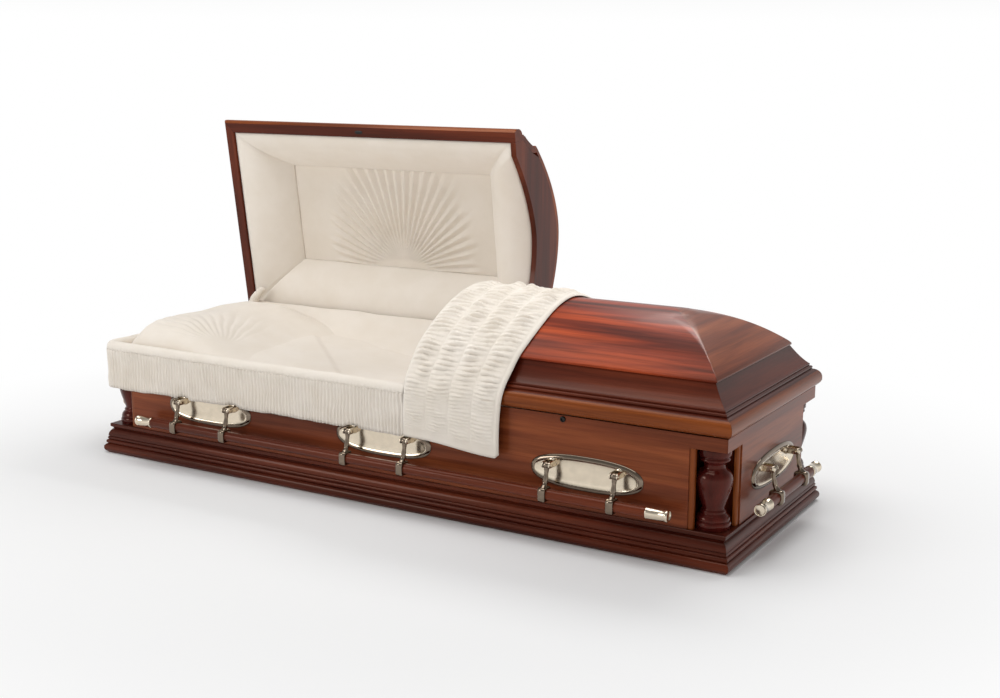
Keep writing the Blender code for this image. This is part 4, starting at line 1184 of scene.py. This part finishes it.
def build_lid_panel(which):
    """Panel inside the bolsters; the head lid's has pleats fanning from a flat arc at the hinge side."""
    left, right = LINING_SPANS[which]
    columns, rows = PANEL_GRIDS[which]
    x = np.linspace(left + BOLSTER - PANEL_OVERLAP, right - BOLSTER + PANEL_OVERLAP, columns)
    front_y, back_y = -LINING_HALF + FRONT_BOLSTER - PANEL_OVERLAP, LINING_HALF - BOLSTER + PANEL_OVERLAP
    y = np.linspace(front_y, back_y, rows)
    X, Y = np.meshgrid(x, y)
    across, up = X - ((x[0] + x[-1]) / 2 + SUN_OFFSET), y[-1] - 0.004 - Y
    inner = np.hypot(across / SUN_SIZE[0], up / SUN_SIZE[1])
    radius, heading = np.hypot(across, up), np.arctan2(up, across)
    turn = heading / pi * RAYS + 0.10 * waves(X, Y, 71, (0.2, 0.6))
    pleat = (1 - np.abs(2 * (turn - np.floor(turn)) - 1)) ** 0.9 - 0.45
    length = RAY_LENGTH + RAY_GROWTH * np.sin(heading) ** 2 + 0.015 * np.sin(turn * 2.4)
    deep = 0.35 + 0.65 * ease(0.05, 0.14, radius)
    height = RAY_DEPTH * pleat * deep * ease(0.90, 1.12, inner)
    height = height * ease(length, 0.78 * length, radius) * ease(-0.01, 0.02, up)
    pleated = 1.0 if which == "head" else 0.0
    Z = LINING_Z + PANEL_DEPTH + 0.0040 - pleated * height - 0.0010 * waves(X, Y, 72, (0.06, 0.25), 8)
    front, back = grid(X, Y, Z), grid(X, Y, Z + LID_PANEL_THICKNESS)
    # The panel's darker velvet is partly painted shade of its recess.
    panel = soft_piece(PANEL_NAMES[which], front, back, which + "_lid", material=SHADED_PANEL_VELVET)
    width, length = x[-1] - x[0], y[-1] - y[0]


STAY_PATH = [(-1.004, 0.298, 0.368), (-0.998, 0.301, 0.394), (-0.982, 0.306, 0.424), (-0.958, 0.314, 0.450)]
STAY_RADIUS = 0.0135
STAY_RINGS = 70
STAY_STEPS = 28
STAY_RUCHE = 0.0016
STAY_RUCHE_PITCH = 0.0062


def build_stay_cover():
    """Ruched sleeve over the stay that holds the lid, at the head end of the hinge side."""
    path, run = resampled(rounded_path(STAY_PATH), STAY_RINGS)
    rings = []
    for (x, y, z), s in zip(path, run):
        bulge = STAY_RADIUS * (0.75 + 0.25 * sin(pi * s / run[-1]))
        bulge = bulge + STAY_RUCHE * abs(sin(pi * s / STAY_RUCHE_PITCH))
        turns = [2 * pi * k / STAY_STEPS for k in range(STAY_STEPS)]
        rings.append([(x + bulge * cos(a), y + bulge * sin(a), z - 0.4 * bulge * cos(a)) for a in turns])
    sleeve = velvet_piece("stay_sleeve", lofted("stay_sleeve", rings), "shell")
    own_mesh(sleeve)


OVERLAY_WIDTH = 0.306
OVERLAY_GRID = (112, 420)
OVERLAY_CLEARANCE = 0.0035
OVERLAY_STANDOFF = 0.026
OVERLAY_BOTTOM = 0.2225
OVERLAY_BACK_Y = 0.215
OVERLAY_FLARE = 0.09
OVERLAY_FOLD = RIM_BOTTOM + 0.012
OVERLAY_COLUMNS = 4
OVERLAY_BORDERS = (0.005, 0.014)
HEM_SLANT = 0.019
SIDE_SEAM = 0.007
FRONT_SEAM = 0.016
HEM_STITCH_WIDTH = 0.0010
STITCH_DEPTH = 0.0009
STITCH_WIDTH = 0.0012
PUCKER_PITCH = 0.0088
PUCKER_PITCH_GROWTH = 0.0074
PUCKER_HEIGHT = 0.0042
PUCKER_HEIGHT_GROWTH = 0.0064
PUCKER_BOOST = 1.15
RIPPLE_PITCH = 0.0062
RIPPLE_HEIGHT = 0.0015
GATHERS_PITCH = 0.0042
GATHERS_HEIGHT = 0.0007


def overlay_path():
    """Section of the throw from its front hem over the lid to behind the ridge, as (y, z) points."""
    clear = OVERLAY_CLEARANCE
    front = -HALF_WIDTH
    hang = front - OVERLAY_STANDOFF
    lip = (-CROWN_HALF_WIDTH - clear, CROWN_BOTTOM + CROWN_LIP + clear)
    path = [(hang, OVERLAY_BOTTOM), (hang - 0.0005, RIM_BOTTOM - 0.060), (hang + 0.002, RIM_BOTTOM - 0.015),
            (front - LID_SPREAD - clear - 0.004, RIM_BOTTOM + 0.020), (front - 0.006, RIM_BOTTOM + 0.055),
            (front + 0.022, RIM_BOTTOM + 0.088), (lip[0] - 0.004, lip[1] - 0.004)]
    rise = [(-1, s) for s in (0.1, 0.2, 0.32, 0.46, 0.6, 0.74, 0.88, 1)]
    fall = [(1, s) for s in (0.88, 0.74, 0.6, 0.46, 0.34, 1 - OVERLAY_BACK_Y / CROWN_HALF_WIDTH)]
    path += [(side * CROWN_HALF_WIDTH * (1 - s), crown_height(s) + clear + 0.001)
             for side, s in rise + fall]
    return rounded_path(path)


def sharpen_row(mesh, row, columns):
    """Keep the smooth shading of one row of a skin apart from the strip that closes it there."""
    first, last = row * columns, (row + 1) * columns
    for edge in mesh.edges:
        if all(first <= vertex < last for vertex in edge.vertices):
            edge.use_edge_sharp = True


def overlay_relief(U, S):
    """Height of the throw's cloth: columns of puckers between stitched lines, plain borders and hems."""
    total = S[-1, 0]
    left, right = OVERLAY_BORDERS[0], OVERLAY_WIDTH - OVERLAY_BORDERS[1]
    column = (right - left) / OVERLAY_COLUMNS
    place = (U - left) / column
    inside = (place > 0) & (place < OVERLAY_COLUMNS)
    number = np.clip(np.floor(place), 0, OVERLAY_COLUMNS - 1)
    share = np.clip(place - number, 0, 1)
    to_line = np.minimum(share, 1 - share) * column
    across = np.sin(pi * share)
    hang = ease(0.10, 0.24, S)
    plain = ease(0.018, 0.034, S) * ease(total - 0.004, total - 0.020, S)
    pitch = PUCKER_PITCH + PUCKER_PITCH_GROWTH * hang[:, 0]
    beat = np.cumsum((S[1, 0] - S[0, 0]) / pitch)[:, None]
    wander = 0.16 * waves(U, S, 81, (0.07, 0.18), 8) + 0.16 * waves(U + 7 * number, S, 82, (0.04, 0.10), 8)
    phase = beat + 0.5 * number + wander
    puff = np.sin(pi * (phase - np.floor(phase)) ** 0.6)
    size = np.clip(0.70 + 0.55 * waves(0.5 * U, S, 83, (0.025, 0.07), 8), 0.25, 1.5)
    tall = PUCKER_BOOST * (PUCKER_HEIGHT + PUCKER_HEIGHT_GROWTH * hang)
    ruche = tall * puff ** 0.8 * across ** (0.45 + 0.35 * hang) * size
    ripple = RIPPLE_HEIGHT * humps(pi * (S / RIPPLE_PITCH + 0.7 * waves(U, S, 86, (0.03, 0.08), 8)))
    gathers = GATHERS_HEIGHT * humps(pi * S / GATHERS_PITCH + 2 * waves(S, U, 84, (0.02, 0.05)))
    puckers = ruche + ripple * across ** 0.5 + gathers * np.exp(-(to_line / 0.006) ** 2)
    puckers = (puckers - STITCH_DEPTH * np.exp(-(to_line / STITCH_WIDTH) ** 2)) * plain * inside
    from_seams = (U - (OVERLAY_WIDTH - SIDE_SEAM), S - FRONT_SEAM)
    hem_line = sum(np.exp(-(away / HEM_STITCH_WIDTH) ** 2) for away in from_seams)
    edge = np.minimum.reduce([U, OVERLAY_WIDTH - U, S, total - S])
    lift = 0.0045 * ease(0.0, 0.006, edge) + 0.0010
    sag = 0.0018 * waves(U, S, 85, (0.12, 0.4)) * ease(0.20, 0.05, S)
    return lift + puckers - 0.0006 * hem_line + sag


def build_overlay():
    """Ruched throw, parted at the lid's lower edge into a top and a drop, both riding on the foot lid."""
    columns, rows = OVERLAY_GRID
    path, run = resampled(overlay_path(), rows)
    along = np.gradient(path, axis=0)
    along = along / np.linalg.norm(along, axis=1)[:, None]
    U, S = np.meshgrid(np.linspace(0, OVERLAY_WIDTH, columns), run)
    height = overlay_relief(U, S)
    x = SPLIT_X + HALF_SPLIT + GAP + U * (1 + OVERLAY_FLARE * ease(0.05, 0.42, S))
    shorter = 0.010 * (1 - ease(0.0, 0.016, OVERLAY_WIDTH - U)) ** 2 * np.clip(1 - S / 0.03, 0, 1)
    slant = HEM_SLANT * ease(0.03, OVERLAY_WIDTH, U) * np.clip(1 - S / 0.10, 0, 1)

    def layer(raised):
        y = path[:, :1] - along[:, 1:] * raised
        return grid(x, y, path[:, 1:] + along[:, :1] * raised + shorter - slant)

    front, back = layer(height), layer(np.maximum(height - CLOTH_THICKNESS, -0.0005))
    fold = int(np.argmax(path[:, 1] > OVERLAY_FOLD))
    top = soft_piece("ruched_overlay", front[fold:], back[fold:], "foot_lid", ["overlay"])
    sharpen_row(top.data, 0, columns)
    drop = soft_piece("ruched_overlay_drop", front[:fold + 1], back[:fold + 1], "foot_lid")
    sharpen_row(drop.data, fold, columns)
    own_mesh(drop)


# Stage

FLOOR_REACH = 30.0
FLOOR_GREY = (0.84, 0.84, 0.84, 1)
FADE_START = 0.9
FADE_END = 2.2
SKY_GREYS = [(0.03, 1.0), (0.20, 0.68), (0.45, 0.36), (1.0, 0.24)]


def build_stage():
    """A pale floor that runs out into the white of the studio, and a soft sky that is dimmer overhead."""
    mesh = bpy.data.meshes.new("floor")
    square = [(x * FLOOR_REACH, y * FLOOR_REACH, 0) for x, y in ((-1, -1), (1, -1), (1, 1), (-1, 1))]
    mesh.from_pydata(square, [], [(0, 1, 2, 3)])
    floor = placed_object("floor", mesh)
    material, tree, shader = blank_material("floor", Roughness=0.9, Specular_IOR_Level=0.1,
                                            Base_Color=FLOOR_GREY)
    coords = node(tree, "TexCoord").outputs["Object"]
    distance = node(tree, "VectorMath", operation="LENGTH", Vector=coords)
    share = node(tree, "MapRange", interpolation_type="SMOOTHSTEP",
                 Value=distance.outputs["Value"], From_Min=FADE_START, From_Max=FADE_END)
    glow = node(tree, "Emission", Color=(*WHITE, 1))
    mix = node(tree, "MixShader", Fac=share.outputs["Result"])
    tree.links.new(shader.outputs["BSDF"], mix.inputs[1])
    tree.links.new(glow.outputs["Emission"], mix.inputs[2])
    tree.links.new(mix.outputs["Shader"], tree.nodes["Material Output"].inputs["Surface"])
    mesh.materials.append(material)
    world = bpy.data.worlds.new("studio")
    bpy.context.scene.world = world
    bpy.context.scene.view_settings.view_transform = "Standard"
    world.use_nodes = True
    tree = world.node_tree
    coords = node(tree, "TexCoord").outputs["Generated"]
    height = node(tree, "SeparateXYZ", Vector=coords).outputs["Z"]
    sky = ramp(tree, [(place, (grey, grey, grey)) for place, grey in SKY_GREYS], height)
    tree.links.new(sky, tree.nodes["Background"].inputs["Color"])


def area_light(name, place, aim, size, power):
    data = bpy.data.lights.new(name, "AREA")
    data.shape = "RECTANGLE"
    data.size, data.size_y = size
    data.energy = power
    light = placed_object(name, data)
    light.location = place
    direction = Vector(aim) - Vector(place)
    light.rotation_mode = "QUATERNION"
    light.rotation_quaternion = direction.to_track_quat("-Z", "Y")


def build_lights():
    area_light("overhead", (-0.3, -0.5, 3.2), (-0.2, 0, 0.3), (3.6, 2.0), 64)
    area_light("back", (0.5, 2.3, 3.0), (0.3, 0, 0.1), (2.6, 1.0), 60)
    area_light("front", (-2.6, -3.4, 1.9), (0, 0, 0.3), (1.6, 1.2), 34)


make_camera()
build_stage()
build_lights()
build_shell()
for which in LINING_SPANS:
    build_lid(which)
for side in TURNS:
    build_handles(side)
build_lock()
build_latch()
build_hinges()
build_stay_cover()
build_rim_roll()
build_skirt()
build_back_roll()
build_bed()
build_pillow()
for which in LINING_SPANS:
    build_lid_bolsters(which)
    build_lid_panel(which)
build_overlay()


def corners(bounds):
    return [list(bounds[0]), list(bounds[1])]
